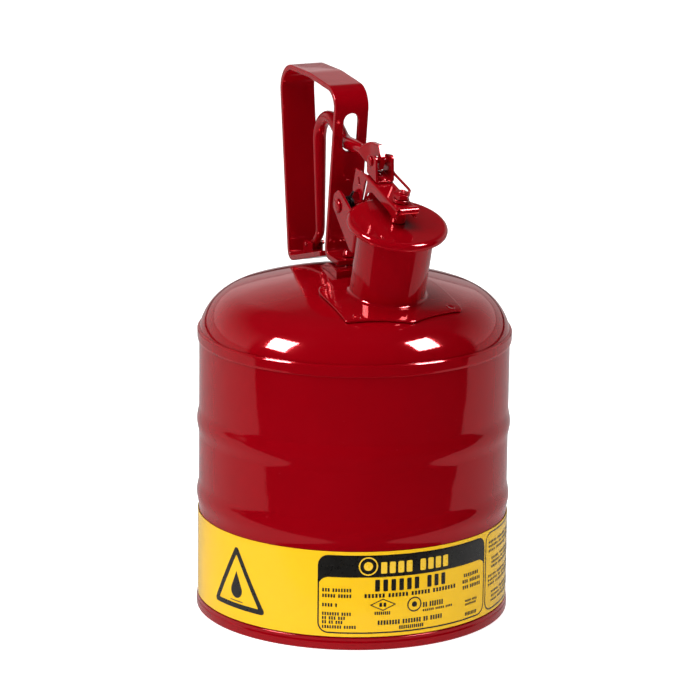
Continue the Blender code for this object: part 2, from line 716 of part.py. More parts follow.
def make_lid_bolt(parent):
    seat = YOKE_TOP + BOSS_HEIGHT + GAP
    tip = NECK_TOP - 0.0064
    profile = [(0.0, seat + 0.001), (BOLT_RADIUS, seat + 0.001), (BOLT_RADIUS, tip), (0.0, tip)]
    bolt = keep(turned("lid_bolt", profile, NECK_FRAME, parent, 20), RED_ENAMEL)
    head = bar_along_axis("bolt_head", NECK_FRAME, 0.0, 0.0047, seat, seat + 0.0026, 6)
    return combine(bolt, head, "UNION")


def make_lid_yoke(parent):
    """A stamped channel: hinge ears at the rear, a flat top parallel to the lid, a hem in front."""
    top_rear = in_row(0.0360, YOKE_TOP)
    top_front = in_row(-0.0098, YOKE_TOP)
    outline = arc(LID_AXIS, 0.0044, 210, 435, 12) + rounded([
        (-0.0040, 0.2458, 0.0), (-0.0079, 0.2496, 0.0), (-0.0130, 0.2648, 0.0022),
        (*top_rear, 0.0010), (*top_front, 0.0010), (-0.0672, 0.2442, 0.0014),
        (-0.0560, 0.2474, 0.0040), (-0.0345, 0.2563, 0.0040), (-0.0279, 0.2588, 0.0008),
        (-0.0214, 0.2463, 0.0020), (-0.0095, 0.2384, 0.0),
    ], arc_steps=3)[1:-1]
    yoke = keep(slab("lid_yoke", outline, YOKE_HALF_WIDTH, SIDE_VIEW, parent), RED_ENAMEL)
    under_rear = in_row(0.0340, YOKE_TOP - YOKE_SHEET)
    under_front = in_row(-0.0300, YOKE_TOP - YOKE_SHEET)
    hollow = [
        under_rear, (under_rear[0] + 0.0002, 0.2800), (0.0100, 0.2800), (0.0100, 0.2250),
        (under_front[0], 0.2250), under_front,
    ]
    cut(yoke, slab("yoke_hollow", hollow, YOKE_HALF_WIDTH - YOKE_SHEET, SIDE_VIEW))
    combine(yoke, bar_along_x("yoke_hem", YOKE_TUBE_CENTRE, YOKE_TUBE_RADIUS, -0.0050, 0.0064, 20), "UNION")
    cut(yoke, bar_along_x("yoke_bore", LID_AXIS, PIN_RADIUS + GAP, -0.02, 0.02))
    cut(yoke, bar_along_axis("yoke_bolt_bore", NECK_FRAME, 0.0, BOLT_RADIUS + GAP, 0.050, 0.0595, 20))
    for index, v in enumerate(RIVET_PLACES):
        cut(yoke, bar_along_axis("yoke_rivet_bore_%d" % index, NECK_FRAME, v, 0.0017, 0.050, 0.060, 12))
    return yoke


def make_yoke_clevis(parent):
    """A small U bracket on the yoke, open upwards and to front and rear."""
    rear = in_row(0.0352, YOKE_TOP + GAP)
    front = in_row(0.0222, YOKE_TOP + GAP)
    outline = rounded([
        (*rear, 0.0), (rear[0] - 0.0004, 0.2742, 0.0026), (front[0] + 0.0002, 0.2756, 0.0026),
        (*front, 0.0),
    ])
    clevis = keep(slab("yoke_clevis", outline, CLEVIS_HALF_WIDTH, SIDE_VIEW, parent), RED_ENAMEL)
    floor_rear = in_row(0.0450, CLEVIS_FLOOR)
    floor_front = in_row(0.0110, CLEVIS_FLOOR)
    space = [floor_rear, (floor_rear[0], 0.2900), (floor_front[0], 0.2900), floor_front]
    cut(clevis, slab("clevis_space", space, CLEVIS_GAP, SIDE_VIEW))
    cut(clevis, bar_along_x("clevis_bore", LINK_PIN, LINK_RADIUS + GAP, -0.01, 0.01, 20))
    for index, v in enumerate(RIVET_PLACES):
        bore = bar_along_axis("clevis_rivet_bore_%d" % index, NECK_FRAME, v, 0.0017, 0.050, 0.0600, 12)
        cut(clevis, bore)
    return clevis


def make_clevis_rivets(parent):
    under = YOKE_TOP - YOKE_SHEET - GAP
    over = CLEVIS_FLOOR + GAP
    shank = 0.0014
    profile = [
        (0.0, over + 0.0011), (0.0016, over + 0.0009), (0.0024, over), (shank, over), (shank, under),
        (0.0022, under), (0.0016, under - 0.0008), (0.0, under - 0.0010),
    ]
    for label, v in zip(("front", "rear"), RIVET_PLACES):
        there = NECK_FRAME @ Matrix.Translation((0.0, v, 0.0))
        keep(turned("clevis_rivet_" + label, profile, there, parent, 16), RED_ENAMEL)


def make_link_pin(parent):
    head = CLEVIS_HALF_WIDTH + GAP
    profile = [
        (0.0, head + 0.0010), (0.0022, head + 0.0009), (0.0030, head), (LINK_RADIUS, head),
        (LINK_RADIUS, -head), (0.0030, -head), (0.0022, -head - 0.0009), (0.0, -head - 0.0010),
    ]
    across = Matrix.Translation((0.0, *LINK_PIN)) @ Matrix.Rotation(math.pi / 2, 4, "Y")
    return keep(turned("link_pin", profile, across, parent, 20), RED_ENAMEL)


def make_clip_wire(parent):
    """A bent wire from the clevis' far side towards the lid bolt."""
    radius = 0.0008
    x = CLEVIS_HALF_WIDTH + radius + 0.0004
    corners = [(-0.0330, 0.2655), (-0.0360, 0.2640), (-0.0540, 0.2592), (-0.0562, 0.2582)]
    route = [(x, y, z) for y, z in corners]
    route += [(x - 0.0010, -0.0568, 0.2577), (x - 0.0022, -0.0556, 0.2573), (x - 0.0026, -0.0530, 0.2573)]
    return keep(wire("clip_wire", route, radius, parent), RED_ENAMEL)


def main():
    make_bottom_pan()
    make_body_shell()
    make_top_dome()
    make_label_band()
    make_neck_plate()
    make_spout_neck()
    make_flame_arrester()
    make_hinge_bracket()
    make_hinge_pin()
    make_hinge_spring()
    make_base_plate()
    make_handle_strap()
    make_handle_screw()
    make_trigger_post()
    make_trigger_pivot_pin()
    trigger = pivot("trigger_axis", TRIGGER_AXIS)
    make_trigger_rod(trigger)
    lid = pivot("lid_axis", LID_AXIS)
    make_lid_cap(lid)
    make_lid_stack(lid)
    make_lid_bolt(lid)
    make_lid_yoke(lid)
    make_yoke_clevis(lid)
    make_clevis_rivets(lid)
    make_link_pin(lid)
    make_clip_wire(lid)


clear_scene()
PARTS = new_collection(OBJECT_NAME)
TOOLS = new_collection("cutters")
main()
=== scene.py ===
"""Looks for the one-gallon safety can: enamelled shell, spout, linkage, handle and printed band.

Units are metres in the part's own frame: the origin is under the middle of the foot, +Z is up,
the spout points to -Y and the handle stands behind it.
"""
import math

import bmesh
import bpy
from mathutils import Matrix, Vector


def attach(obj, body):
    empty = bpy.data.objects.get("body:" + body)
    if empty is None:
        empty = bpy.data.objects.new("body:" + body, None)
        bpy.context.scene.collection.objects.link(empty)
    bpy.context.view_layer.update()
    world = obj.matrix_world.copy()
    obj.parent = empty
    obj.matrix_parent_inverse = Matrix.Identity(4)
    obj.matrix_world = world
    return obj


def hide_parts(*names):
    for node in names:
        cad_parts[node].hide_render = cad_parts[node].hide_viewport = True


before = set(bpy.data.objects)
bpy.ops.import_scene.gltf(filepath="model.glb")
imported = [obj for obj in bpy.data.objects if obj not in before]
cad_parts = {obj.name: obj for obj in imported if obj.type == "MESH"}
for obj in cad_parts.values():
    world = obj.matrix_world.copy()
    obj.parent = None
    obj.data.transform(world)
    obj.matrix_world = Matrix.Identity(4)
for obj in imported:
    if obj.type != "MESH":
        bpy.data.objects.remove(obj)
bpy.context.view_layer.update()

GAP = 0.0003

# The shell.
WALL_RADIUS = 0.0903
SEAM_RADIUS = 0.0915
SHEET = 0.0008
CHIME_TOP = 0.0076
PANEL_HEIGHT = 0.0050
SEAM_BOTTOM = 0.1603
SEAM_TOP = 0.1677
BEAD_CENTRES = (0.0687, 0.1125)
BEAD_HALF = 0.0090
SHELL_STEPS = 288

# The dome: a shallow crown that runs into a knuckle.
CROWN_RADIUS = 0.2340
APEX_HEIGHT = 0.2003
KNUCKLE_RADIUS = 0.0300
KNUCKLE_CENTRE = (0.0608, 0.1610)
KNUCKLE_START = math.atan2(KNUCKLE_CENTRE[0], KNUCKLE_CENTRE[1] - APEX_HEIGHT + CROWN_RADIUS)

# The spout's frame: X across, Y square to the spout and to the rear, Z along it.
NECK_FOOT = Vector((0.0, -0.0433, 0.1984))
NECK_FRAME = Matrix.Translation(NECK_FOOT) @ Matrix.Rotation(math.radians(16.0), 4, "X")
NECK_RADIUS = 0.0217
NECK_BORE = 0.0205
NECK_TOP = 0.0396
DOME_HOLE = 0.0190
PLATE_SHEET = 0.0016
SCREEN_RADIUS = 0.0170
SCREEN_DEPTH = 0.0380
LID_RADIUS = 0.02885
LID_TOP = 0.0448
BOLT_RADIUS = 0.0030
YOKE_TOP = 0.0570
YOKE_SHEET = 0.0012
YOKE_HALF_WIDTH = 0.0066
CLEVIS_HALF_WIDTH = 0.0058
CLEVIS_SHEET = 0.0014
RIVET_PLACES = (0.0247, 0.0315)
YOKE_TUBE_RADIUS = 0.0023
YOKE_TUBE_CENTRE = (-0.0680, 0.2498)
BOSS_HEIGHT = 0.0026

# Axes and pins of the linkage, as (y, z) in the middle plane.
LID_AXIS = (-0.0050, 0.2410)
TRIGGER_AXIS = (0.0575, 0.2048)
LINK_PIN = (-0.0310, 0.2716)
LID_TRAVEL = math.radians(30.0)
TRIGGER_RATIO = 0.28
PIN_RADIUS = 0.0024
LINK_RADIUS = 0.0019
EAR_MIDDLE = 0.0130
EAR_SHEET = 0.0016

# Handle.
STRAP_HALF_WIDTH = 0.0105
STRAP_THICKNESS = 0.0032
REAR_FOOT_TIP = (0.0262, 0.2059)
REAR_FOOT_CORNER = (0.07175, 0.1932)
FRONT_FOOT_CORNER = (0.0194, 0.2064)
FRONT_FOOT_TIP = (0.0015, 0.2053)
SCREW_Y = 0.0085
SCREW_SEAT = 0.2077
TRAY_FRONT = -0.0119
TRAY_REAR = 0.0243
TRAY_FRONT_HALF = 0.0175
TRAY_REAR_HALF = 0.0114
TRAY_FLOOR = 0.2032
POST_Y = 0.0590
ROD_RADIUS = 0.0039

# The printed band.
LABEL_TOP = 0.0584
LABEL_SKIN = 0.0003
INK = 0.00006
BAND_RADIUS = WALL_RADIUS + GAP + LABEL_SKIN

# The studio.
VIEW_AZIMUTH = math.radians(-25.0)
VIEW_REACH = 2.168
VIEW_HEIGHT = 0.7117
VIEW_PITCH = 0.2522
VIEW_ROLL = 0.0124
# The front edge of the reflected table top: across the view, and towards the camera.
TABLE_EDGE = (
    (-3.0, 0.150), (-0.612, 0.1925), (-0.384, 0.2017), (-0.149, 0.174), (0.368, 0.124),
    (0.60, 0.056), (1.50, -0.200), (3.0, -0.620),
)

UPRIGHT = Matrix.Identity(4)
SIDE_VIEW = Matrix(((0, 0, 1, 0), (1, 0, 0, 0), (0, 1, 0, 0), (0, 0, 0, 1)))


# ---------------------------------------------------------------- outlines

def rounded(corners, closed=True, steps=8):
    """Replace each corner (u, v, radius) of a path by an arc of that radius."""
    path = []
    last = len(corners) - 1
    for index, (u, v, radius) in enumerate(corners):
        here = Vector((u, v))
        if radius == 0 or (not closed and index in (0, last)):
            path.append((u, v))
            continue
        back = (Vector(corners[index - 1][:2]) - here).normalized()
        ahead = (Vector(corners[(index + 1) % len(corners)][:2]) - here).normalized()
        half = back.angle(ahead) / 2
        centre = here + (back + ahead).normalized() * (radius / math.sin(half))
        start = here + back * (radius / math.tan(half)) - centre
        turn = start.angle_signed(here + ahead * (radius / math.tan(half)) - centre)
        for step in range(steps + 1):
            spoke = start.copy()
            spoke.rotate(Matrix.Rotation(-turn * step / steps, 2))
            path.append(tuple(centre + spoke))
    return path


def arc(centre, radius, first, last, steps):
    """Points on an arc, with its angles in degrees."""
    angles = [math.radians(first + (last - first) * i / steps) for i in range(steps + 1)]
    return [(centre[0] + radius * math.cos(a), centre[1] + radius * math.sin(a)) for a in angles]


def circle(centre, radius, steps=32):
    return arc(centre, radius, 0, 360, steps)[:-1]


def box_outline(low, high, radius):
    corners = [(low[0], low[1]), (high[0], low[1]), (high[0], high[1]), (low[0], high[1])]
    return rounded([(u, v, radius) for u, v in corners], steps=5)


def obround(first, last, half):
    """A slot with round ends between two points."""
    along = Vector(last) - Vector(first)
    heading = math.degrees(math.atan2(along.y, along.x))
    ends = arc(last, half, heading - 90, heading + 90, 10)
    return ends + arc(first, half, heading + 90, heading + 270, 10)


def facing(loop, anticlockwise=True):
    """The loop, turned round if it does not run the wanted way."""
    area = sum(a[0] * b[1] - b[0] * a[1] for a, b in zip(loop, loop[1:] + loop[:1]))
    return loop if (area > 0) == anticlockwise else loop[::-1]


def turned_about(point, axis, angle):
    """A point (y, z) after its top is swung to the rear about an axis."""
    y, z = point[0] - axis[0], point[1] - axis[1]
    swung = (y * math.cos(angle) + z * math.sin(angle), -y * math.sin(angle) + z * math.cos(angle))
    return (axis[0] + swung[0], axis[1] + swung[1])


def in_neck(y, z):
    """A point (y, z) of the middle plane as (v, s) in the spout's frame."""
    there = NECK_FRAME.inverted() @ Vector((0.0, y, z))
    return (there.y, there.z)


def in_row(v, s):
    there = NECK_FRAME @ Vector((0.0, v, s))
    return (there.y, there.z)


# ---------------------------------------------------------------- meshes

def as_mesh(shape, name, matrix=UPRIGHT):
    bmesh.ops.remove_doubles(shape, verts=shape.verts, dist=1e-7)
    bmesh.ops.recalc_face_normals(shape, faces=shape.faces)
    mesh = bpy.data.meshes.new(name)
    shape.to_mesh(mesh)
    shape.free()
    mesh.transform(matrix)
    return mesh


def lathe(name, profile, matrix=UPRIGHT, steps=96):
    """Turn (radius, height) pairs about Z. A profile clear of the axis closes on itself."""
    shape = bmesh.new()
    rings = []
    for radius, height in profile:
        if radius < 1e-7:
            rings.append([shape.verts.new((0.0, 0.0, height))])
            continue
        turn = [2 * math.pi * k / steps for k in range(steps)]
        ring = [(radius * math.cos(a), radius * math.sin(a), height) for a in turn]
        rings.append([shape.verts.new(co) for co in ring])
    pairs = list(zip(rings, rings[1:]))
    if all(radius > 1e-7 for radius, height in profile):
        pairs.append((rings[-1], rings[0]))
    for low, high in pairs:
        for k in range(steps):
            m = k + 1
            around = [low[k % len(low)], low[m % len(low)], high[m % len(high)], high[k % len(high)]]
            corners = list(dict.fromkeys(around))
            if len(corners) > 2:
                shape.faces.new(corners)
    return as_mesh(shape, name, matrix)


def mitres(loop):
    """At each corner of a loop, the vector that moves both its edges out by one unit."""
    found = []
    for index, here in enumerate(loop):
        before = (Vector(here) - Vector(loop[index - 1])).normalized()
        after = (Vector(loop[(index + 1) % len(loop)]) - Vector(here)).normalized()
        both = Vector((before.y + after.y, -before.x - after.x))
        found.append(both.normalized() / max(both.length / 2, 0.5))
    return found


def add_plate(shape, loops, thickness, edge, steps=3):
    """Add a flat plate with rounded edges: its outline first, then its holes."""
    turns = [math.pi / 2 * k / steps for k in range(steps + 1)]
    upper = [(edge * (1 - math.sin(a)), thickness / 2 - edge * (1 - math.cos(a))) for a in turns]
    if edge == 0:
        upper = [(0.0, thickness / 2)]
    levels = upper + [(inset, -height) for inset, height in reversed(upper)]
    rims = ([], [])
    for number, loop in enumerate(loops):
        path = facing(list(loop), number == 0)
        outward = mitres(path)
        rings = []
        for inset, height in levels:
            ring = [Vector(p) - n * inset for p, n in zip(path, outward)]
            rings.append([shape.verts.new((p.x, p.y, height)) for p in ring])
        for low, high in zip(rings, rings[1:]):
            for k in range(len(path)):
                m = (k + 1) % len(path)
                shape.faces.new((low[k], low[m], high[m], high[k]))
        for rim, ring in zip(rims, (rings[0], rings[-1])):
            rim += [shape.edges.get((ring[k - 1], ring[k])) for k in range(len(ring))]
    for rim in rims:
        bmesh.ops.triangle_fill(shape, use_beauty=True, edges=rim)


def split(shape, axis, stations):
    """Cut the faces of a shape at stations along X (0) or Y (1), so that it can bend there."""
    normal = Vector((1.0, 0.0, 0.0)) if axis == 0 else Vector((0.0, 1.0, 0.0))
    for station in stations:
        geometry = shape.verts[:] + shape.edges[:] + shape.faces[:]
        bmesh.ops.bisect_plane(
            shape, geom=geometry, dist=1e-7, plane_co=normal * station, plane_no=normal
        )


def plate(name, loops, thickness, edge, matrix=UPRIGHT):
    shape = bmesh.new()
    add_plate(shape, loops, thickness, edge)
    return as_mesh(shape, name, matrix)


class Route:
    """A bent line in a plane, measured along its length."""

    def __init__(self, points):
        self.points = [Vector(p) for p in points]
        runs = [(b - a).length for a, b in zip(self.points, self.points[1:])]
        self.lengths = [sum(runs[:k]) for k in range(len(self.points))]
        self.normals = []
        for k in range(len(self.points)):
            before = self.points[max(k - 1, 0)]
            ahead = (self.points[min(k + 1, len(self.points) - 1)] - before).normalized()
            self.normals.append(Vector((-ahead.y, ahead.x)))

    def at(self, u):
        """The place and the normal at a distance along the line."""
        k = 0
        while k < len(self.lengths) - 2 and u > self.lengths[k + 1]:
            k += 1
        run = self.lengths[k + 1] - self.lengths[k]
        share = (u - self.lengths[k]) / run
        normal = self.normals[k].lerp(self.normals[k + 1], min(max(share, 0.0), 1.0)).normalized()
        return self.points[k].lerp(self.points[k + 1], share), normal

    def reach(self, point):
        """How far along the line its nearest place to a point is."""
        count = 2000
        places = [self.lengths[-1] * k / count for k in range(count + 1)]
        return min(places, key=lambda u: (self.at(u)[0] - Vector(point)).length)


def bent_plate(name, loops, thickness, edge, route, put):
    """A plate drawn flat as (along the route, across it), then bent to the route."""
    shape = bmesh.new()
    add_plate(shape, loops, thickness, edge)
    split(shape, 0, route.lengths[1:-1])
    for vert in shape.verts:
        place, normal = route.at(vert.co.x)
        bent = place + normal * vert.co.z
        vert.co = put(bent.x, bent.y, vert.co.y)
    return as_mesh(shape, name)


def side_put(y, z, across):
    return Vector((across, y, z))


def neck_put(x, s, v):
    return NECK_FRAME @ Vector((x, v, s))


def sweep(name, route, sections, sides=24):
    """A bar along 3-D points. Each section is (half width in X, half height, squareness)."""
    shape = bmesh.new()
    across = Vector((1.0, 0.0, 0.0))
    rings = []
    for index, (here, (half_x, half_n, power)) in enumerate(zip(route, sections)):
        before = Vector(route[max(index - 1, 0)])
        ahead = (Vector(route[min(index + 1, len(route) - 1)]) - before).normalized()
        normal = ahead.cross(across).normalized()
        side = normal.cross(ahead).normalized()
        ring = []
        for k in range(sides):
            angle = 2 * math.pi * k / sides
            c, s = math.cos(angle), math.sin(angle)
            a = math.copysign(abs(c) ** (2 / power), c) * half_x
            b = math.copysign(abs(s) ** (2 / power), s) * half_n
            ring.append(shape.verts.new(Vector(here) + side * a + normal * b))
        rings.append(ring)
    for low, high in zip(rings, rings[1:]):
        for k in range(sides):
            m = (k + 1) % sides
            shape.faces.new((low[k], low[m], high[m], high[k]))
    shape.faces.new(rings[0])
    shape.faces.new(rings[-1])
    return as_mesh(shape, name)


def smooth_line(points, count):
    """Evenly many points on a smooth curve through a few given ones."""
    dots = [Vector(p) for p in points]
    dots = [dots[0] * 2 - dots[1]] + dots + [dots[-1] * 2 - dots[-2]]
    spans = len(points) - 1
    line = []
    for step in range(count + 1):
        where = min(spans * step / count, spans - 1e-9)
        k, t = int(where), where - int(where)
        a, b, c, d = dots[k:k + 4]
        line.append(0.5 * (
            2 * b + (c - a) * t + (2 * a - 5 * b + 4 * c - d) * t ** 2
            + (3 * b - a - 3 * c + d) * t ** 3
        ))
    return line


def carve(mesh, tool, operation="DIFFERENCE"):
    """Cut one mesh from another, or join them into one closed mesh."""
    base = bpy.data.objects.new("base", mesh)
    cutter = bpy.data.objects.new("cutter", tool)
    for thing in (base, cutter):
        bpy.context.scene.collection.objects.link(thing)
    step = base.modifiers.new("carve", "BOOLEAN")
    step.object = cutter
    step.operation = operation
    step.solver = "EXACT"
    bpy.context.view_layer.update()
    seen = base.evaluated_get(bpy.context.evaluated_depsgraph_get())
    result = bpy.data.meshes.new_from_object(seen)
    for thing in (base, cutter):
        bpy.data.objects.remove(thing, do_unlink=True)
    return result


def soften(thing, width):
    """Round the sharp edges of a piece."""
    thing.modifiers.clear()
    edges = thing.modifiers.new("rounded_edges", "BEVEL")
    edges.width = width
    edges.segments = 3
    edges.limit_method = "ANGLE"
    edges.angle_limit = math.radians(35.0)
    edges.harden_normals = True


def show(name, mesh, body, finish, nodes=(), sharp=32.0):
    """Make a mesh a piece of the can that stands for CAD nodes and moves with a body."""
    slot_name, material = finish
    mesh.materials.clear()
    mesh.materials.append(material)
    mesh.name = name
    mesh.polygons.foreach_set("material_index", [0] * len(mesh.polygons))
    thing = bpy.data.objects.new(name, mesh)
    bpy.context.scene.collection.objects.link(thing)
    mesh.shade_smooth()
    mesh.set_sharp_from_angle(angle=math.radians(sharp))
    even = thing.modifiers.new("even_normals", "WEIGHTED_NORMAL")
    even.keep_sharp = True
    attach(thing, body)
    if nodes:
        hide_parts(*nodes)
    return thing


# ---------------------------------------------------------------- materials

class Paint:
    """A material under construction: a Principled shader and the nodes that feed it."""

    def __init__(self, name, colour, roughness, metallic=0.0):
        self.material = bpy.data.materials.new(name)
        self.material.use_nodes = True
        self.material.diffuse_color = (*colour, 1.0)
        self.tree = self.material.node_tree
        self.shader = self.tree.nodes["Principled BSDF"]
        self.set(roughness=roughness, metallic=metallic)
        self.shader.inputs["Base Color"].default_value = (*colour, 1.0)
        self.place = self.add("ShaderNodeTexCoord").outputs["Object"]

    def set(self, **values):
        for key, value in values.items():
            self.shader.inputs[key.replace("_", " ").title()].default_value = value

    def add(self, kind, **values):
        node = self.tree.nodes.new(kind)
        for key, value in values.items():
            setattr(node, key, value)
        return node

    def link(self, output, target):
        self.tree.links.new(output, target)

    def noise(self, scale, detail=2.0, place=None):
        node = self.add("ShaderNodeTexNoise")
        node.inputs["Scale"].default_value = scale
        node.inputs["Detail"].default_value = detail
        self.link(place or self.place, node.inputs["Vector"])
        return node.outputs["Fac"]

    def specks(self, scale, size, share):
        """A mask of small round spots in a share of the cells of a given scale."""
        cells = self.add("ShaderNodeTexVoronoi")
        cells.inputs["Scale"].default_value = scale
        self.link(self.place, cells.inputs["Vector"])
        near = self.ramp(cells.outputs["Distance"], size, size * 0.4)
        chance = self.add("ShaderNodeSeparateColor")
        self.link(cells.outputs["Color"], chance.inputs["Color"])
        chosen = self.ramp(chance.outputs["Red"], 1 - share, 1 - share + 0.02)
        both = self.add("ShaderNodeMath", operation="MULTIPLY")
        self.link(near, both.inputs[0])
        self.link(chosen, both.inputs[1])
        return both.outputs["Value"]

    def ramp(self, value, low, high, start=0.0, end=1.0):
        node = self.add("ShaderNodeMapRange")
        names = ("From Min", "From Max", "To Min", "To Max")
        for name, number in zip(names, (low, high, start, end)):
            node.inputs[name].default_value = number
        self.link(value, node.inputs["Value"])
        return node.outputs["Result"]

    def blend(self, share, first, second):
        """A colour between two others, each a colour or another node's output."""
        node = self.add("ShaderNodeMix", data_type="RGBA")
        self.link(share, node.inputs["Factor"])
        for socket, colour in ((node.inputs[6], first), (node.inputs[7], second)):
            if isinstance(colour, tuple):
                socket.default_value = (*colour, 1.0)
            else:
                self.link(colour, socket)
        return node.outputs[2]

    def bump(self, height, distance, strength=1.0, under=None):
        node = self.add("ShaderNodeBump")
        node.inputs["Distance"].default_value = distance
        node.inputs["Strength"].default_value = strength
        self.link(height, node.inputs["Height"])
        if under:
            self.link(under, node.inputs["Normal"])
        return node.outputs["Normal"]


def enamel_material():
    """Deep red baked enamel: glossy, slightly wavy, with fine orange peel and dust nibs."""
    paint = Paint("red_enamel_finish", (0.270, 0.0003, 0.0040), 0.06, 0.25)
    paint.set(coat_weight=0.40, coat_roughness=0.015)
    paint.shader.inputs["Specular Tint"].default_value = (1.0, 0.28, 0.30, 1.0)
    tone = paint.blend(paint.noise(22, 3), (0.250, 0.0002, 0.0034), (0.292, 0.0005, 0.0048))
    nibs = paint.specks(210, 0.055, 0.10)
    paint.link(paint.blend(nibs, tone, (0.46, 0.06, 0.07)), paint.shader.inputs["Base Color"])
    paint.link(paint.ramp(paint.noise(60, 4), 0.3, 0.7, 0.070, 0.105), paint.shader.inputs["Roughness"])
    wave = paint.bump(paint.noise(48, 1), 0.00020)
    peel = paint.bump(paint.noise(620, 2), 0.0000130, under=wave)
    normal = paint.bump(nibs, 0.00008, under=peel)
    paint.link(normal, paint.shader.inputs["Normal"])
    paint.link(normal, paint.shader.inputs["Coat Normal"])
    return paint.material


def film_material():
    """Yellow printed film with a clear gloss face that shows the can's waviness a little."""
    paint = Paint("yellow_film_finish", (0.72, 0.425, 0.004), 0.18)
    paint.set(coat_weight=0.25, coat_roughness=0.05)
    paint.shader.inputs["Specular IOR Level"].default_value = 0.3
    tone = paint.blend(paint.noise(30, 3), (0.70, 0.405, 0.002), (0.745, 0.445, 0.006))
    nibs = paint.specks(160, 0.05, 0.10)
    paint.link(paint.blend(nibs, tone, (0.50, 0.32, 0.04)), paint.shader.inputs["Base Color"])
    wave = paint.bump(paint.noise(48, 1), 0.00022)
    paint.link(paint.bump(paint.noise(500, 2), 0.00001, under=wave), paint.shader.inputs["Normal"])
    return paint.material


def ink_material(name, dark, light):
    """Printing ink: satin, not quite even in tone."""
    paint = Paint(name, dark, 0.30)
    paint.set(coat_weight=0.10, coat_roughness=0.08)
    paint.link(paint.blend(paint.noise(160, 4), dark, light), paint.shader.inputs["Base Color"])
    paint.link(paint.ramp(paint.noise(400, 3), 0.3, 0.7, 0.24, 0.38), paint.shader.inputs["Roughness"])
    return paint.material


def metal_material(name, dark, light, roughness, brushed):
    """Bare or blackened steel with drawn lines along one direction."""
    paint = Paint(name, dark, roughness, 1.0)
    stretch = paint.add("ShaderNodeMapping")
    stretch.inputs["Scale"].default_value = brushed
    paint.link(paint.place, stretch.inputs["Vector"])
    lines = paint.noise(600, 4, stretch.outputs["Vector"])
    paint.link(paint.blend(lines, dark, light), paint.shader.inputs["Base Color"])
    grain = paint.ramp(lines, 0.3, 0.7, roughness * 0.8, roughness * 1.3)
    paint.link(grain, paint.shader.inputs["Roughness"])
    paint.link(paint.bump(lines, 0.00001), paint.shader.inputs["Normal"])
    return paint.material


def rubber_material():
    paint = Paint("black_rubber_finish", (0.018, 0.018, 0.019), 0.7)
    tone = paint.blend(paint.noise(300, 5), (0.012, 0.012, 0.013), (0.034, 0.033, 0.034))
    paint.link(tone, paint.shader.inputs["Base Color"])
    paint.link(paint.bump(paint.noise(1500, 3), 0.00003), paint.shader.inputs["Normal"])
    return paint.material


ENAMEL = ("red_enamel", enamel_material())
FILM = ("yellow_film", film_material())
BLACK_INK = (None, ink_material("black_ink_finish", (0.004, 0.0035, 0.003), (0.010, 0.009, 0.007)))
YELLOW_INK = (None, ink_material("yellow_ink_finish", (0.69, 0.41, 0.003), (0.75, 0.47, 0.010)))
BLACK = ("black_steel", metal_material(
    "black_steel_finish", (0.014, 0.014, 0.015), (0.05, 0.05, 0.052), 0.36, (1, 1, 1)
))
STEEL = ("plain_steel", metal_material(
    "plain_steel_finish", (0.42, 0.42, 0.43), (0.66, 0.66, 0.67), 0.30, (0.1, 1, 1)
))
RUBBER = ("black_rubber", rubber_material())


# ---------------------------------------------------------------- the shell

def crown_point(angle, lift=0.0):
    reach = CROWN_RADIUS + lift
    return (reach * math.sin(angle), APEX_HEIGHT - CROWN_RADIUS + reach * math.cos(angle))


def knuckle_point(angle, lift=0.0):
    reach = KNUCKLE_RADIUS + lift
    return (KNUCKLE_CENTRE[0] + reach * math.sin(angle), KNUCKLE_CENTRE[1] + reach * math.cos(angle))


def dome_curve(lift, last_angle, crown_steps, knuckle_steps):
    crown = [crown_point(KNUCKLE_START * k / crown_steps, lift) for k in range(1, crown_steps + 1)]
    spread = last_angle - KNUCKLE_START
    angles = [KNUCKLE_START + spread * k / knuckle_steps for k in range(1, knuckle_steps + 1)]
    return [(0.0, crown_point(0.0, lift)[1])] + crown + [knuckle_point(a, lift) for a in angles]


def on_dome(x, y, lift):
    """The point above plan position (x, y), lifted square to the dome's outer face."""
    reach = math.hypot(x, y)
    if reach < CROWN_RADIUS * math.sin(KNUCKLE_START):
        angle = math.asin(reach / CROWN_RADIUS)
        radius, height = crown_point(angle, lift)
    else:
        angle = math.asin(min((reach - KNUCKLE_CENTRE[0]) / KNUCKLE_RADIUS, 1.0))
        radius, height = knuckle_point(angle, lift)
    heading = math.atan2(y, x)
    return Vector((radius * math.cos(heading), radius * math.sin(heading), height))


def bead_bulge(height):
    for centre in BEAD_CENTRES:
        if abs(height - centre) < BEAD_HALF:
            share = math.cos(math.pi * (height - centre) / 2 / BEAD_HALF) ** 2
            return (SEAM_RADIUS - WALL_RADIUS) * share
    return 0.0


def make_shell():
    top = SEAM_TOP - 0.0011
    heights = [top, SEAM_BOTTOM]
    for centre in reversed(BEAD_CENTRES):
        heights += [centre + BEAD_HALF * (1 - k / 16) for k in range(33)]
    heights += [LABEL_TOP - 0.01, CHIME_TOP, 0.0012]
    outer = [(WALL_RADIUS + bead_bulge(height), height) for height in heights]
    inner = [(radius - SHEET, height) for radius, height in reversed(outer)]
    mesh = lathe("body_shell", outer + inner, steps=SHELL_STEPS)
    show("shell_body", mesh, "can", ENAMEL, ["body_shell"])


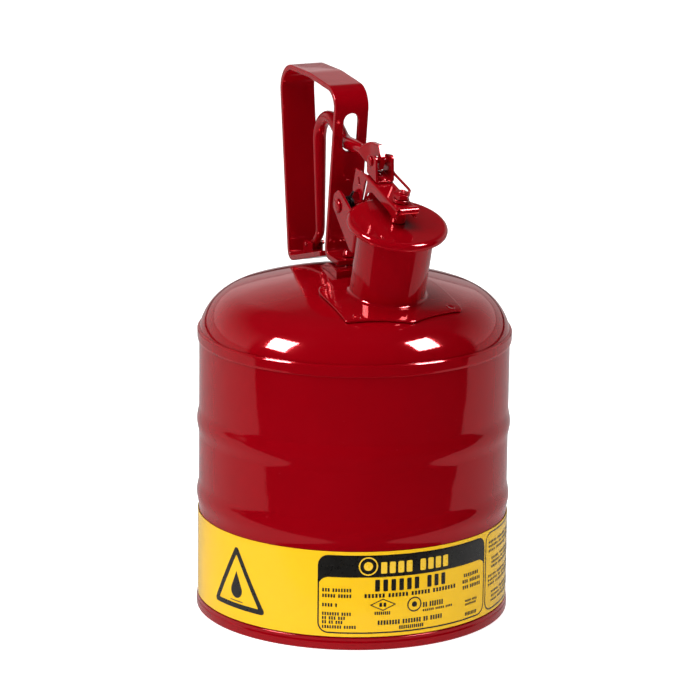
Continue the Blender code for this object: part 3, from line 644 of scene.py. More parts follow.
def make_dome():
    """The pressed top, whose rim is rolled down over the body's edge as a flat band."""
    rim_angle = math.acos((SEAM_TOP - KNUCKLE_CENTRE[1]) / KNUCKLE_RADIUS)
    inside = WALL_RADIUS - SHEET - 0.0004
    skirt = inside - SHEET
    skirt_angle = math.asin((skirt - KNUCKLE_CENTRE[0]) / (KNUCKLE_RADIUS - SHEET))
    outside = WALL_RADIUS + GAP
    meeting = knuckle_point(rim_angle)
    seam = rounded([
        (meeting[0], meeting[1], 0.0), (meeting[0] + 0.00005, SEAM_TOP - 0.0006, 0.0002),
        (SEAM_RADIUS - 0.0006, SEAM_TOP - 0.0001, 0.0004), (SEAM_RADIUS, SEAM_TOP - 0.0012, 0.0008),
        (SEAM_RADIUS - 0.0001, SEAM_BOTTOM + 0.0014, 0.0009),
        (SEAM_RADIUS - 0.0005, SEAM_BOTTOM, 0.0004), (outside, SEAM_BOTTOM, 0.0),
    ], closed=False, steps=5)
    within = [
        (outside, SEAM_TOP - SHEET), (inside, SEAM_TOP - SHEET), (inside, SEAM_BOTTOM + 0.0002),
        (skirt, SEAM_BOTTOM + 0.0002),
    ]
    under = dome_curve(-SHEET, skirt_angle, 8, 10)[::-1]
    profile = dome_curve(0.0, rim_angle, 20, 30)[:-1] + seam + within + under
    dome = lathe("top_dome", profile, steps=SHELL_STEPS)
    bore = lathe("bore", [(0.0, 0.02), (DOME_HOLE, 0.02), (DOME_HOLE, -0.02), (0.0, -0.02)], NECK_FRAME)
    show("shell_top", carve(dome, bore), "can", ENAMEL, ["top_dome"])


def make_foot():
    """The pressed bottom, whose rim is rolled up over the body's lower edge."""
    inside = WALL_RADIUS - SHEET - 0.0004
    outside = WALL_RADIUS + GAP
    profile = [(0.0, PANEL_HEIGHT + SHEET), (inside - 0.0017, PANEL_HEIGHT + SHEET)]
    profile += [
        (inside - SHEET, CHIME_TOP - 0.0002), (inside, CHIME_TOP - 0.0002), (inside, 0.0009),
        (outside, 0.0009), (outside, CHIME_TOP - 0.0003),
    ]
    profile += rounded([
        (outside + 0.0001, CHIME_TOP - 0.0003, 0.0), (SEAM_RADIUS - 0.0003, CHIME_TOP, 0.0004),
        (SEAM_RADIUS - 0.0004, CHIME_TOP - 0.0022, 0.0010), (SEAM_RADIUS, CHIME_TOP - 0.0032, 0.0008),
        (SEAM_RADIUS, 0.0, 0.0011), (inside - 0.0010, 0.0, 0.0006),
        (inside - 0.0019, PANEL_HEIGHT - 0.0006, 0.0006), (inside - 0.0026, PANEL_HEIGHT, 0.0),
    ], closed=False, steps=5)
    profile.append((0.0, PANEL_HEIGHT))
    mesh = lathe("bottom_pan", profile, steps=SHELL_STEPS)
    show("shell_foot", mesh, "can", ENAMEL, ["bottom_pan"])


# ---------------------------------------------------------------- printed band

def make_band():
    inner = WALL_RADIUS + GAP
    bottom = CHIME_TOP + GAP
    soft = LABEL_SKIN * 0.4
    profile = [
        (inner, LABEL_TOP), (BAND_RADIUS - soft, LABEL_TOP), (BAND_RADIUS, LABEL_TOP - soft),
        (BAND_RADIUS, bottom + soft), (BAND_RADIUS - soft, bottom), (inner, bottom),
    ]
    mesh = lathe("label_band", profile, steps=SHELL_STEPS)
    show("printed_band", mesh, "can", FILM, ["label_band"])


def printed(name, shapes, finish, layer):
    """Thin ink shapes drawn flat as (distance round the band, height), wrapped on the band."""
    shape = bmesh.new()
    for loops in shapes:
        add_plate(shape, loops, INK, 0.0)
    spread = [vert.co.x for vert in shape.verts]
    step = BAND_RADIUS * math.radians(1.5)
    first, last = math.ceil(min(spread) / step), math.floor(max(spread) / step)
    split(shape, 0, [step * k for k in range(first, last + 1)])
    for vert in shape.verts:
        angle = vert.co.x / BAND_RADIUS
        radius = BAND_RADIUS + 0.00004 + layer * INK + INK / 2 + vert.co.z
        vert.co = Vector((radius * math.sin(angle), -radius * math.cos(angle), vert.co.y))
    show(name, as_mesh(shape, name), "can", finish)


def frame_loops(low, high, radius, line):
    inner_low = (low[0] + line, low[1] + line)
    inner_high = (high[0] - line, high[1] - line)
    return [box_outline(low, high, radius), box_outline(inner_low, inner_high, radius - line)]


def block_line(start, base, height, counts, pitch, fill=0.62):
    """A row of plain blocks in groups, which stands for a line of small print."""
    shapes = []
    at = start
    for count in counts:
        for k in range(count):
            low = (at, base)
            high = (at + pitch * fill, base + height)
            shapes.append([box_outline(low, high, min(pitch * fill, height) * 0.2)])
            at += pitch
        at += pitch * 0.7
    return shapes


def make_print():
    """Generic print: framed panels, a dark heading strip, plain blocks and simple outlines."""
    panel_low, panel_high = (-0.0590, 0.0099), (0.0508, 0.0564)
    heading_base = 0.0434
    black = [frame_loops(panel_low, panel_high, 0.0062, 0.0008)]
    left, right, top = panel_low[0] + 0.0002, panel_high[0] - 0.0002, panel_high[1] - 0.0002
    heading = rounded([
        (left, heading_base - 0.0062, 0.0), (left + 0.0004, heading_base, 0.0062),
        (right - 0.0004, heading_base, 0.0062), (right, heading_base - 0.0062, 0.0),
        (right, top, 0.0060), (left, top, 0.0060),
    ])
    black.append([heading])
    black.append(frame_loops((0.0521, 0.0097), (0.1360, 0.0570), 0.0062, 0.0008))
    rows = (
        (-0.0262, 0.0349, 0.0070, (6, 3), 0.0047, 0.58),
        (-0.0322, 0.0312, 0.0024, (6, 6, 6, 8), 0.00206),
        (-0.0263, 0.0209, 0.0020, (8,), 0.00118),
        (0.0027, 0.0231, 0.0031, (2, 6), 0.0016),
        (0.0027, 0.0206, 0.0014, (6, 5, 4), 0.00125),
        (-0.0244, 0.0149, 0.0027, (8, 7, 2, 5), 0.00168),
        (-0.0118, 0.0117, 0.0022, (12,), 0.00128),
        (0.0318, 0.0357, 0.0021, (8,), 0.00165),
        (0.0308, 0.0321, 0.0021, (3, 6), 0.00165),
        (0.0311, 0.0285, 0.0021, (3, 6), 0.00165),
        (0.0333, 0.0205, 0.0013, (5, 4), 0.0011),
        (0.0333, 0.0184, 0.0013, (9,), 0.0011),
        (0.0334, 0.0121, 0.0021, (8,), 0.0013),
    )
    for row in rows:
        black += block_line(*row)
    for base, counts in ((0.0346, (3, 7)), (0.0312, (5, 5))):
        black += block_line(-0.0563, base, 0.0021, counts, 0.0016)
    black += block_line(-0.0563, 0.0257, 0.0021, (4, 1), 0.0016)
    for base, counts in ((0.0206, (7, 4)), (0.0181, (2, 3, 3)), (0.0156, (2, 2, 3)), (0.0128, (8, 5))):
        black += block_line(-0.0563, base, 0.0019, counts, 0.00145)
    black.append([circle((-0.0027, 0.0257), 0.0044), circle((-0.0027, 0.0257), 0.0037)])
    black.append([circle((-0.0027, 0.0257), 0.0016)])
    diamond = [(-0.0292, 0.0269), (-0.0215, 0.0233), (-0.0138, 0.0269), (-0.0215, 0.0305)]
    inner = [(-0.0280, 0.0269), (-0.0215, 0.02385), (-0.0150, 0.0269), (-0.0215, 0.02995)]
    black.append([diamond, inner])
    black += block_line(-0.0236, 0.0257, 0.0024, (2,), 0.0024)
    black += triangle_sign()
    black += second_panel()
    printed("print_black", black, BLACK_INK, 0)
    mark = (-0.0302, 0.0500)
    yellow = [[circle(mark, 0.0055), circle(mark, 0.0047)], [circle(mark, 0.0026)]]
    yellow += block_line(-0.0229, 0.0455, 0.0068, (4, 4), 0.0050, 0.70)
    printed("print_yellow", yellow, YELLOW_INK, 2)


def triangle_sign():
    """A rounded triangle frame round a plain drop that stands on a short line."""
    middle, base = -0.1136, 0.0151
    outer = rounded([
        (middle - 0.0212, base, 0.0018), (middle + 0.0225, base, 0.0018),
        (middle, base + 0.0384, 0.0018),
    ])
    inner = rounded([
        (middle - 0.0160, base + 0.0030, 0.0004), (middle + 0.0172, base + 0.0030, 0.0004),
        (middle, base + 0.0324, 0.0004),
    ])
    drop = arc((middle, base + 0.0108), 0.0046, 155, 385, 20) + [(middle, base + 0.0222)]
    ground = box_outline((middle - 0.0052, base + 0.0042), (middle + 0.0052, base + 0.0047), 0.0002)
    return [[outer, inner], [drop], [ground]]


def second_panel():
    """Paragraphs of plain blocks in the panel beside the main one."""
    shapes = []
    base = 0.0500
    for group in range(4):
        for line in range(3):
            counts = ((5, 7, 3, 8, 6), (6, 2, 9, 5, 4), (4, 8, 6))[line]
            shapes += block_line(0.0560 + 0.004 * (group % 2), base, 0.0014, counts, 0.0022)
            base -= 0.0026
        base -= 0.0024
    return shapes


# ---------------------------------------------------------------- the spout

def make_neck_plate():
    """A reinforcing plate that follows the dome, with a shallow point in front."""
    outline = rounded([
        (0.0363, -0.0660, 0.0025), (0.0365, -0.0160, 0.0170), (-0.0365, -0.0160, 0.0170),
        (-0.0363, -0.0660, 0.0025), (0.0, -0.0770, 0.0100),
    ])
    hole = circle((0.0, NECK_FOOT.y), DOME_HOLE + 0.0002, 48)
    shape = bmesh.new()
    add_plate(shape, [outline, hole], PLATE_SHEET, 0.0005)
    split(shape, 0, [0.0025 * k for k in range(-14, 15)])
    split(shape, 1, [-0.0025 * k for k in range(4, 31)])
    for vert in shape.verts:
        vert.co = on_dome(vert.co.x, vert.co.y, GAP + PLATE_SHEET / 2 + vert.co.z)
    show("spout_plate", as_mesh(shape, "neck_plate"), "can", ENAMEL, ["neck_plate"])


def make_spot_welds():
    """Shallow dimples where the plate is welded to the dome."""
    ring = [(0.0, 0.00002), (0.0011, 0.00004), (0.0016, 0.00030), (0.0021, 0.00032), (0.0026, 0.0)]
    base = [(0.0026, -0.0002), (0.0, -0.0002)]
    shape = bmesh.new()
    for x, y in ((0.0290, -0.0650), (-0.0290, -0.0650), (0.0310, -0.0250), (-0.0310, -0.0250)):
        foot = on_dome(x, y, GAP + PLATE_SHEET)
        above = on_dome(x, y, GAP + PLATE_SHEET + 0.01)
        upright = (above - foot).to_track_quat("Z", "Y").to_matrix().to_4x4()
        shape.from_mesh(lathe("weld", ring + base, Matrix.Translation(foot) @ upright, 32))
    show("spout_plate_welds", as_mesh(shape, "welds"), "can", ENAMEL)


def foot_height(angle, radius):
    """Where the line of the spout's wall at an angle meets the plate, along the spout."""
    low, high = -0.02, 0.03
    for step in range(40):
        middle = (low + high) / 2
        here = NECK_FRAME @ Vector((radius * math.cos(angle), radius * math.sin(angle), middle))
        if here.z > on_dome(here.x, here.y, GAP + PLATE_SHEET + 0.0001).z:
            high = middle
        else:
            low = middle
    return high


def make_neck():
    """The spout tube: a fillet at the foot that follows the plate, and a rolled lip."""
    steps = 160
    flare = 0.0021
    lip = NECK_RADIUS + 0.0009
    fixed = rounded([
        (NECK_RADIUS, NECK_TOP - 0.0090, 0.0), (NECK_RADIUS, NECK_TOP - 0.0026, 0.0004),
        (lip, NECK_TOP - 0.0019, 0.0004), (lip, NECK_TOP, 0.0007), (NECK_BORE, NECK_TOP, 0.0003),
        (NECK_BORE, NECK_TOP - 0.0060, 0.0),
    ], closed=False, steps=4)
    shape = bmesh.new()
    columns = []
    for k in range(steps):
        angle = 2 * math.pi * k / steps
        column = []
        for turn in range(9):
            bend = math.pi / 2 * turn / 8
            radius = NECK_RADIUS + flare * (1 - math.sin(bend))
            height = foot_height(angle, radius) + flare * (1 - math.cos(bend))
            column.append((radius, height))
        column += fixed
        column += [(NECK_BORE, foot_height(angle, NECK_BORE) + 0.0002)]
        ring = [(r * math.cos(angle), r * math.sin(angle), s) for r, s in column]
        columns.append([shape.verts.new(co) for co in ring])
    for k in range(steps):
        left, right = columns[k], columns[(k + 1) % steps]
        for m in range(len(left)):
            n = (m + 1) % len(left)
            shape.faces.new((left[m], right[m], right[n], left[n]))
    show("spout_tube", as_mesh(shape, "spout_neck", NECK_FRAME), "can", ENAMEL, ["spout_neck"])


def make_arrester():
    """The flame arrester inside the spout: a flanged ring and a woven wire basket."""
    inner, outer = SCREEN_RADIUS + GAP, NECK_BORE - GAP
    ring = rounded([
        (outer, 0.0389, 0.0004), (outer, 0.0355, 0.0003), (inner, 0.0355, 0.0003),
        (inner, 0.0389, 0.0008),
    ], steps=4)
    show("arrester_flange", lathe("ring", ring, NECK_FRAME), "can", STEEL, ["arrester_ring"])
    show("arrester_basket", woven_basket(), "can", STEEL, ["flame_arrester_screen"])
    top = -SCREEN_DEPTH - GAP
    cap = rounded([
        (0.0, top, 0.0), (SCREEN_RADIUS, top, 0.0003), (SCREEN_RADIUS, top - SHEET, 0.0003),
        (0.0, top - SHEET, 0.0),
    ], closed=False, steps=4)
    show("arrester_base", lathe("cap", cap, NECK_FRAME), "can", STEEL, ["arrester_cap"])


def woven_basket():
    """Wires round and wires along a tube, each weaving over and under the others."""
    shape = bmesh.new()
    wire = 0.00022
    middle = SCREEN_RADIUS - 0.0005
    rounds, uprights = 58, 72
    low, high = -SCREEN_DEPTH + 0.0003, 0.0378
    for row in range(rounds):
        height = low + (high - low) * row / (rounds - 1)
        points = []
        for k in range(uprights * 2):
            angle = math.pi * k / uprights
            radius = middle + wire * 0.7 * math.cos(uprights * angle + math.pi * row)
            points.append((radius * math.cos(angle), radius * math.sin(angle), height))
        add_wire(shape, points, wire, True)
    for column in range(uprights):
        angle = 2 * math.pi * column / uprights
        points = []
        for row in range(rounds):
            height = low + (high - low) * row / (rounds - 1)
            radius = middle - wire * 0.7 * math.cos(2 * math.pi * column + math.pi * row)
            points.append((radius * math.cos(angle), radius * math.sin(angle), height))
        add_wire(shape, points, wire, False)
    return as_mesh(shape, "basket", NECK_FRAME)


def add_wire(shape, points, radius, closed):
    """Add a four-sided wire along points to a shape."""
    count = len(points)
    rings = []
    for k, here in enumerate(points):
        before = Vector(points[k - 1] if closed or k else points[0])
        after = Vector(points[(k + 1) % count] if closed or k < count - 1 else points[-1])
        ahead = (after - before).normalized()
        out = Vector((here[0], here[1], 0.0)).normalized()
        side = ahead.cross(out).normalized()
        spokes = (out, side, -out, -side)
        rings.append([shape.verts.new(Vector(here) + spoke * radius) for spoke in spokes])
    pairs = list(zip(rings, rings[1:]))
    if closed:
        pairs.append((rings[-1], rings[0]))
    for low, high in pairs:
        for k in range(4):
            m = (k + 1) % 4
            shape.faces.new((low[k], low[m], high[m], high[k]))
    if not closed:
        shape.faces.new(rings[0])
        shape.faces.new(rings[-1])


def across(yz):
    """A frame whose Z runs along X through a point of the middle plane."""
    return Matrix.Translation((0.0, *yz)) @ Matrix.Rotation(math.pi / 2, 4, "Y")


def pin_profile(shank, head, inner, crown):
    """A pin with a low domed head beyond a half length on both ends."""
    dome = arc((0.0, 0.0), 1.0, 0, 90, 8)
    upper = [(head * c, inner + 0.0003 + crown * s) for c, s in dome]
    half = [(shank, inner), (head - 0.0002, inner)] + upper
    return [(r, -h) for r, h in half[:0:-1]] + [(shank, -inner)] + half


def make_hinge():
    """Two ears joined by a web behind the spout, the riveted pin and its spring."""
    back = NECK_RADIUS + GAP
    bend = 0.0016
    web_mid = back + EAR_SHEET / 2
    flat = EAR_MIDDLE - bend
    path = rounded([
        (-EAR_MIDDLE, 0.0600, 0.0), (-EAR_MIDDLE, web_mid, bend), (EAR_MIDDLE, web_mid, bend),
        (EAR_MIDDLE, 0.0600, 0.0),
    ], closed=False)
    route = Route(path)
    half = route.lengths[-1] / 2
    fold = flat + bend * math.pi / 2 - (web_mid + bend)
    ear = rounded([
        (web_mid + bend, 0.0130, 0.0), (0.0275, 0.0130, 0.0040), (0.0555, 0.0265, 0.0040),
        (0.0562, 0.0345, 0.0050), (0.0510, 0.0398, 0.0050), (0.0330, 0.0357, 0.0200),
        (0.0262, 0.0340, 0.0040), (web_mid + bend, 0.0310, 0.0),
    ], closed=False)
    right = [(half + fold + v, s) for v, s in ear]
    left = [(half - fold - v, s) for v, s in reversed(ear)]
    mesh = bent_plate(
        "hinge_bracket", [right + left], EAR_SHEET, 0.0004, route,
        lambda x, v, s: NECK_FRAME @ Vector((x, v, s)),
    )
    show("hinge_ears", mesh, "can", ENAMEL, ["hinge_bracket"])
    pin = lathe("hinge_pin", pin_profile(PIN_RADIUS, 0.0042, 0.0141, 0.0011), across(LID_AXIS), 40)
    show("hinge_rivet", pin, "can", ENAMEL, ["hinge_pin"])
    show("hinge_coil", coil_mesh(), "can", BLACK, ["hinge_spring"], sharp=60)


def coil_mesh():
    """A closely wound torsion spring with one leg down the ear and one forward."""
    radius, turns, per_turn = 0.0045, 4.25, 36
    near, far = -0.0114, -0.0050
    total = int(turns * per_turn)
    coil = []
    for step in range(total + 1):
        angle = math.radians(-45) + 2 * math.pi * step / per_turn
        x = near + (far - near) * step / total
        y, z = LID_AXIS[0] + radius * math.cos(angle), LID_AXIS[1] + radius * math.sin(angle)
        coil.append(Vector((x, y, z)))
    start = Vector((near, LID_AXIS[0] - 0.0105, LID_AXIS[1] - 0.0125))
    end = coil[-1] + Vector((0.0, -0.0045, 0.0045))
    route = [start, start.lerp(coil[0], 0.5)] + coil + [coil[-1].lerp(end, 0.5), end]
    return sweep("coil", route, [(0.00075, 0.00075, 2)] * len(route), 12)


# ---------------------------------------------------------------- handle

def strap_corners():
    return [
        (*REAR_FOOT_TIP, 0.0), (*REAR_FOOT_CORNER, 0.0045), (0.08655, 0.3084, 0.0145),
        (0.0450, 0.3084, 0.0600), (0.0070, 0.3043, 0.0110), (*FRONT_FOOT_CORNER, 0.0045),
        (*FRONT_FOOT_TIP, 0.0),
    ]


def make_strap():
    """One flat bar bent into the handle, with a slot in its front leg for the trigger rod."""
    route = Route(rounded(strap_corners(), closed=False, steps=14))
    length = route.lengths[-1]
    outline = box_outline((0.0, -STRAP_HALF_WIDTH), (length, STRAP_HALF_WIDTH), 0.0012)
    slot_half = 0.00475
    high = route.reach((0.0085, 0.29180 - slot_half))
    low = route.reach((0.0114, 0.26880 + slot_half))
    slot = obround((high, 0.0), (low, 0.0), slot_half)
    screw = circle((route.reach((SCREW_Y, 0.2057)), 0.0), 0.0023)
    mesh = bent_plate(
        "handle_strap", [outline, slot, screw], STRAP_THICKNESS, 0.0006, route, side_put
    )
    return show("handle_bar", mesh, "can", ENAMEL, ["handle_strap"])


def make_tray():
    """The shallow tray under the front foot, which widens towards the spout."""
    profile = [
        (TRAY_FRONT, 0.1950), (TRAY_REAR, 0.1950), (TRAY_REAR, 0.1990), (0.0085, 0.2045),
        (TRAY_FRONT, 0.2040),
    ]
    tray = plate("tray", [profile], 2 * TRAY_FRONT_HALF, 0.0, SIDE_VIEW)
    tray = carve(tray, tray_stamp(0.0, 0.1900), "INTERSECT")
    tray = carve(tray, tray_stamp(0.0016, TRAY_FLOOR))
    ball = bmesh.new()
    bmesh.ops.create_uvsphere(ball, u_segments=160, v_segments=160, radius=CROWN_RADIUS + GAP)
    centre = Matrix.Translation((0.0, 0.0, APEX_HEIGHT - CROWN_RADIUS))
    tray = carve(tray, as_mesh(ball, "ball", centre @ Matrix.Rotation(math.pi / 2, 4, "X")))
    piece = show("handle_tray", tray, "can", ENAMEL, ["handle_base_plate"])
    soften(piece, 0.0005)


def tray_stamp(inset, bottom):
    """The tray's plan, drawn in by a wall's thickness, as a block that starts at a height."""
    outline = [
        (TRAY_FRONT_HALF - inset, TRAY_FRONT + inset), (TRAY_REAR_HALF - inset, TRAY_REAR + 0.001),
        (inset - TRAY_REAR_HALF, TRAY_REAR + 0.001), (inset - TRAY_FRONT_HALF, TRAY_FRONT + inset),
    ]
    return plate("stamp", [outline], 0.02, 0.0, Matrix.Translation((0.0, 0.0, bottom + 0.01)))


def make_screw():
    head = rounded([
        (0.0, SCREW_SEAT + 0.0042, 0.0), (0.0034, SCREW_SEAT + 0.0040, 0.0014),
        (0.0044, SCREW_SEAT + 0.0012, 0.0008), (0.0044, SCREW_SEAT, 0.0002), (0.0020, SCREW_SEAT, 0.0),
    ], closed=False, steps=6)
    shank = [(0.0020, 0.2012), (0.0, 0.2012)]
    screw = lathe("screw", head + shank, Matrix.Translation((0.0, SCREW_Y, 0.0)), 48)
    there = Matrix.Translation((0.0, SCREW_Y, SCREW_SEAT + 0.0050)) @ Matrix.Rotation(0.6, 4, "Z")
    slot = plate("slot", [box_outline((-0.006, -0.0006), (0.006, 0.0006), 0.0002)], 0.003, 0.0, there)
    show("handle_bolt", carve(screw, slot), "can", ENAMEL, ["handle_screw"])


def make_post():
    """A hexagonal post with a fork for the trigger's foot, and the fork's pin."""
    base, top = 0.1950, TRIGGER_AXIS[1] + 0.0010
    upright = Matrix.Rotation(math.radians(30), 4, "Z")
    stand = Matrix.Translation((0.0, POST_Y, (base + top) / 2)) @ upright
    post = plate("post", [arc((0.0, 0.0), 0.0064, 30, 330, 5)], top - base, 0.0006, stand)
    fall = REAR_FOOT_TIP[1] - REAR_FOOT_CORNER[1]
    rise = math.atan2(fall, REAR_FOOT_CORNER[0] - REAR_FOOT_TIP[0])
    foot = Matrix.Translation((0.0, *REAR_FOOT_CORNER)) @ Matrix.Rotation(-rise, 4, "X")
    block = 0.02
    under = foot @ Matrix.Translation((0.0, 0.0, STRAP_THICKNESS / 2 + GAP - block / 2))
    below = box_outline((-0.02, -0.04), (0.02, 0.03), 0.001)
    post = carve(post, plate("under", [below], block, 0.0, under))
    middle = Matrix.Translation((0.0, POST_Y, TRIGGER_AXIS[1] - 0.0033 + block / 2))
    fork = box_outline((-0.0031, -0.02), (0.0031, 0.02), 0.0004)
    post = carve(post, plate("gap", [fork], block, 0.0, middle))
    soften(show("trigger_stand", post, "can", ENAMEL, ["trigger_post"]), 0.0003)
    shank, half = 0.0012, 0.0061
    pin = rounded([
        (0.0, half, 0.0), (shank, half, 0.0003), (shank, -half, 0.0003), (0.0, -half, 0.0),
    ], closed=False, steps=3)
    pin = lathe("pin", pin, across(TRIGGER_AXIS), 24)
    show("trigger_stand_pin", pin, "can", ENAMEL, ["trigger_pivot_pin"])


# ---------------------------------------------------------------- trigger

def link_pin_in_trigger(lid_angle):
    """Where the link pin, carried by the yoke, lies in the trigger's own frame."""
    in_can = turned_about(LINK_PIN, LID_AXIS, lid_angle)
    return turned_about(in_can, TRIGGER_AXIS, -lid_angle * TRIGGER_RATIO)


def make_trigger():
    """A bent rod that flattens into a tab with a curved slot for the link pin."""
    corners = [
        (TRIGGER_AXIS[0] + 0.0008, TRIGGER_AXIS[1] - 0.0016, 0.0), (0.0495, 0.2130, 0.0080),
        (0.0533, 0.2980, 0.0150), (0.0170, 0.2735, 0.0180), (-0.0100, 0.2735, 0.0),
    ]
    line = rounded(corners, closed=False, steps=16)
    midway = tuple(a * 0.5 + b * 0.5 for a, b in zip(line[0], line[1]))
    line = line[:1] + [midway] + line[1:]
    tab_start, tab_full, tab_end = -0.0100, -0.0225, -0.0352
    line += [(tab_start + (tab_full - tab_start) * k / 14, 0.2735) for k in range(1, 15)]
    line += [(y, 0.2735) for y in (-0.0260, -0.0300, -0.0344, -0.0350, tab_end)]
    sections = []
    for y, z in line:
        swell = min(max((z - 0.215) / 0.040, 0.0), 1.0)
        radius = ROD_RADIUS * (0.70 + 0.30 * swell)
        share = min(max((y - tab_start) / (tab_full - tab_start), 0.0), 1.0)
        share = share * share * (3 - 2 * share)
        half_x = radius + (0.0015 - radius) * share
        half_n = radius + (0.0071 - radius) * share
        sections.append((half_x, half_n, 2 + 7 * share))
    for index, inset in ((-1, 0.0006), (-2, 0.0002)):
        half_x, half_n, power = sections[index]
        sections[index] = (half_x - inset, half_n - inset, power)
    rod = sweep("trigger_rod", [(0.0, y, z) for y, z in line], sections, 48)
    path = [link_pin_in_trigger(LID_TRAVEL * share / 12) for share in range(13)]
    slot = plate("slot", [thick_line(path, LINK_RADIUS + 0.0004)], 0.02, 0.0, SIDE_VIEW)
    rod = carve(rod, slot)
    for corner in (
        [(-0.0325, 0.2655), (-0.0365, 0.2655), (-0.0365, 0.2737), (-0.0353, 0.2737)],
        [(-0.0353, 0.2741), (-0.0365, 0.2741), (-0.0365, 0.2815), (-0.0320, 0.2815)],
    ):
        rod = carve(rod, plate("corner", [corner], 0.01, 0.0, SIDE_VIEW))
    show("trigger_bar", rod, "trigger", ENAMEL, ["trigger_rod"])


def thick_line(path, half_width):
    """The closed outline of a band with round ends that follows an open path."""
    left, right = [], []
    for index, (u, v) in enumerate(path):
        before = Vector(path[max(index - 1, 0)])
        ahead = (Vector(path[min(index + 1, len(path) - 1)]) - before).normalized()
        side = Vector((-ahead.y, ahead.x)) * half_width
        left.append((u + side.x, v + side.y))
        right.append((u - side.x, v - side.y))
    return left + half_turn(path[-1], left[-1]) + right[::-1] + half_turn(path[0], right[0])


def half_turn(centre, start):
    spoke = Vector(start) - Vector(centre)
    first = math.degrees(math.atan2(spoke.y, spoke.x))
    return arc(centre, spoke.length, first, first - 180, 10)[1:-1]


# ---------------------------------------------------------------- lid

def make_lid():
    rim_centre = (LID_RADIUS - 0.0027, LID_TOP - 0.0027)
    rim = arc(rim_centre, 0.0027, 90, -70, 20)
    under = LID_TOP - YOKE_SHEET
    profile = [(BOLT_RADIUS + GAP, LID_TOP - 0.0002), (0.0070, LID_TOP - 0.0002), (0.0120, LID_TOP)]
    profile += rim + rounded([
        (*rim[-1], 0.0), (0.0257, rim[-1][1] + 0.0001, 0.0002), (0.0252, rim[-1][1] + 0.0006, 0.0002),
        (0.0252, under, 0.0), (BOLT_RADIUS + GAP, under, 0.0),
    ], closed=False, steps=4)
    show("lid_cover", lathe("lid_cap", profile, NECK_FRAME, 144), "lid", ENAMEL, ["lid_cap"])


def washer(outer, bottom, top, edge, steps=72):
    bore = BOLT_RADIUS + GAP
    profile = rounded([
        (outer, top, edge), (outer, bottom, edge), (bore, bottom, edge / 2), (bore, top, edge / 2),
    ], steps=4)
    return lathe("washer", profile, NECK_FRAME, steps)


def make_lid_stack():
    gasket_bottom = NECK_TOP + GAP
    gasket = washer(0.0249, gasket_bottom, LID_TOP - YOKE_SHEET - GAP, 0.0005, 96)
    show("lid_seal", gasket, "lid", RUBBER, ["lid_gasket"])
    retainer_top = gasket_bottom - GAP
    retainer = washer(0.0150, retainer_top - 0.0012, retainer_top, 0.0004)
    show("lid_seal_retainer", retainer, "lid", STEEL, ["gasket_retainer"])
    nut_top = retainer_top - 0.0012 - GAP
    height = 0.0036
    outline = [arc((0, 0), 0.0052, 30, 330, 5), circle((0, 0), BOLT_RADIUS + GAP)]
    there = NECK_FRAME @ Matrix.Translation((0.0, 0.0, nut_top - height / 2))
    nut = plate("nut", outline, height, 0.0004, there)
    show("lid_inner_nut", nut, "lid", STEEL, ["lid_nut"])
    bush = washer(0.0046, LID_TOP + GAP, YOKE_TOP - YOKE_SHEET - GAP, 0.0004, 48)
    show("lid_spacer", bush, "lid", ENAMEL, ["lid_bush"])
    boss = washer(0.0047, YOKE_TOP + GAP, YOKE_TOP + BOSS_HEIGHT, 0.0006, 48)
    show("lid_collar", boss, "lid", ENAMEL, ["lid_boss"])


def make_bolt():
    seat = YOKE_TOP + BOSS_HEIGHT + GAP
    tip, top = NECK_TOP - 0.0064, seat + 0.0038
    stud = rounded([
        (0.0, top - 0.0006, 0.0), (0.0012, top - 0.0006, 0.0002), (0.0016, top, 0.0003),
        (0.0024, top, 0.0005), (0.0025, seat + 0.0022, 0.0), (BOLT_RADIUS, seat + 0.0010, 0.0),
        (BOLT_RADIUS, tip, 0.0005), (0.0, tip, 0.0),
    ], closed=False, steps=3)
    there = NECK_FRAME @ Matrix.Translation((0.0, 0.0, seat + 0.0014)) @ Matrix.Rotation(0.35, 4, "Z")
    head = plate("head", [arc((0, 0), 0.0049, 30, 330, 5)], 0.0028, 0.0006, there)
    mesh = carve(lathe("stud", stud, NECK_FRAME, 40), head, "UNION")
    show("lid_bolt_head", mesh, "lid", ENAMEL, ["lid_bolt"])


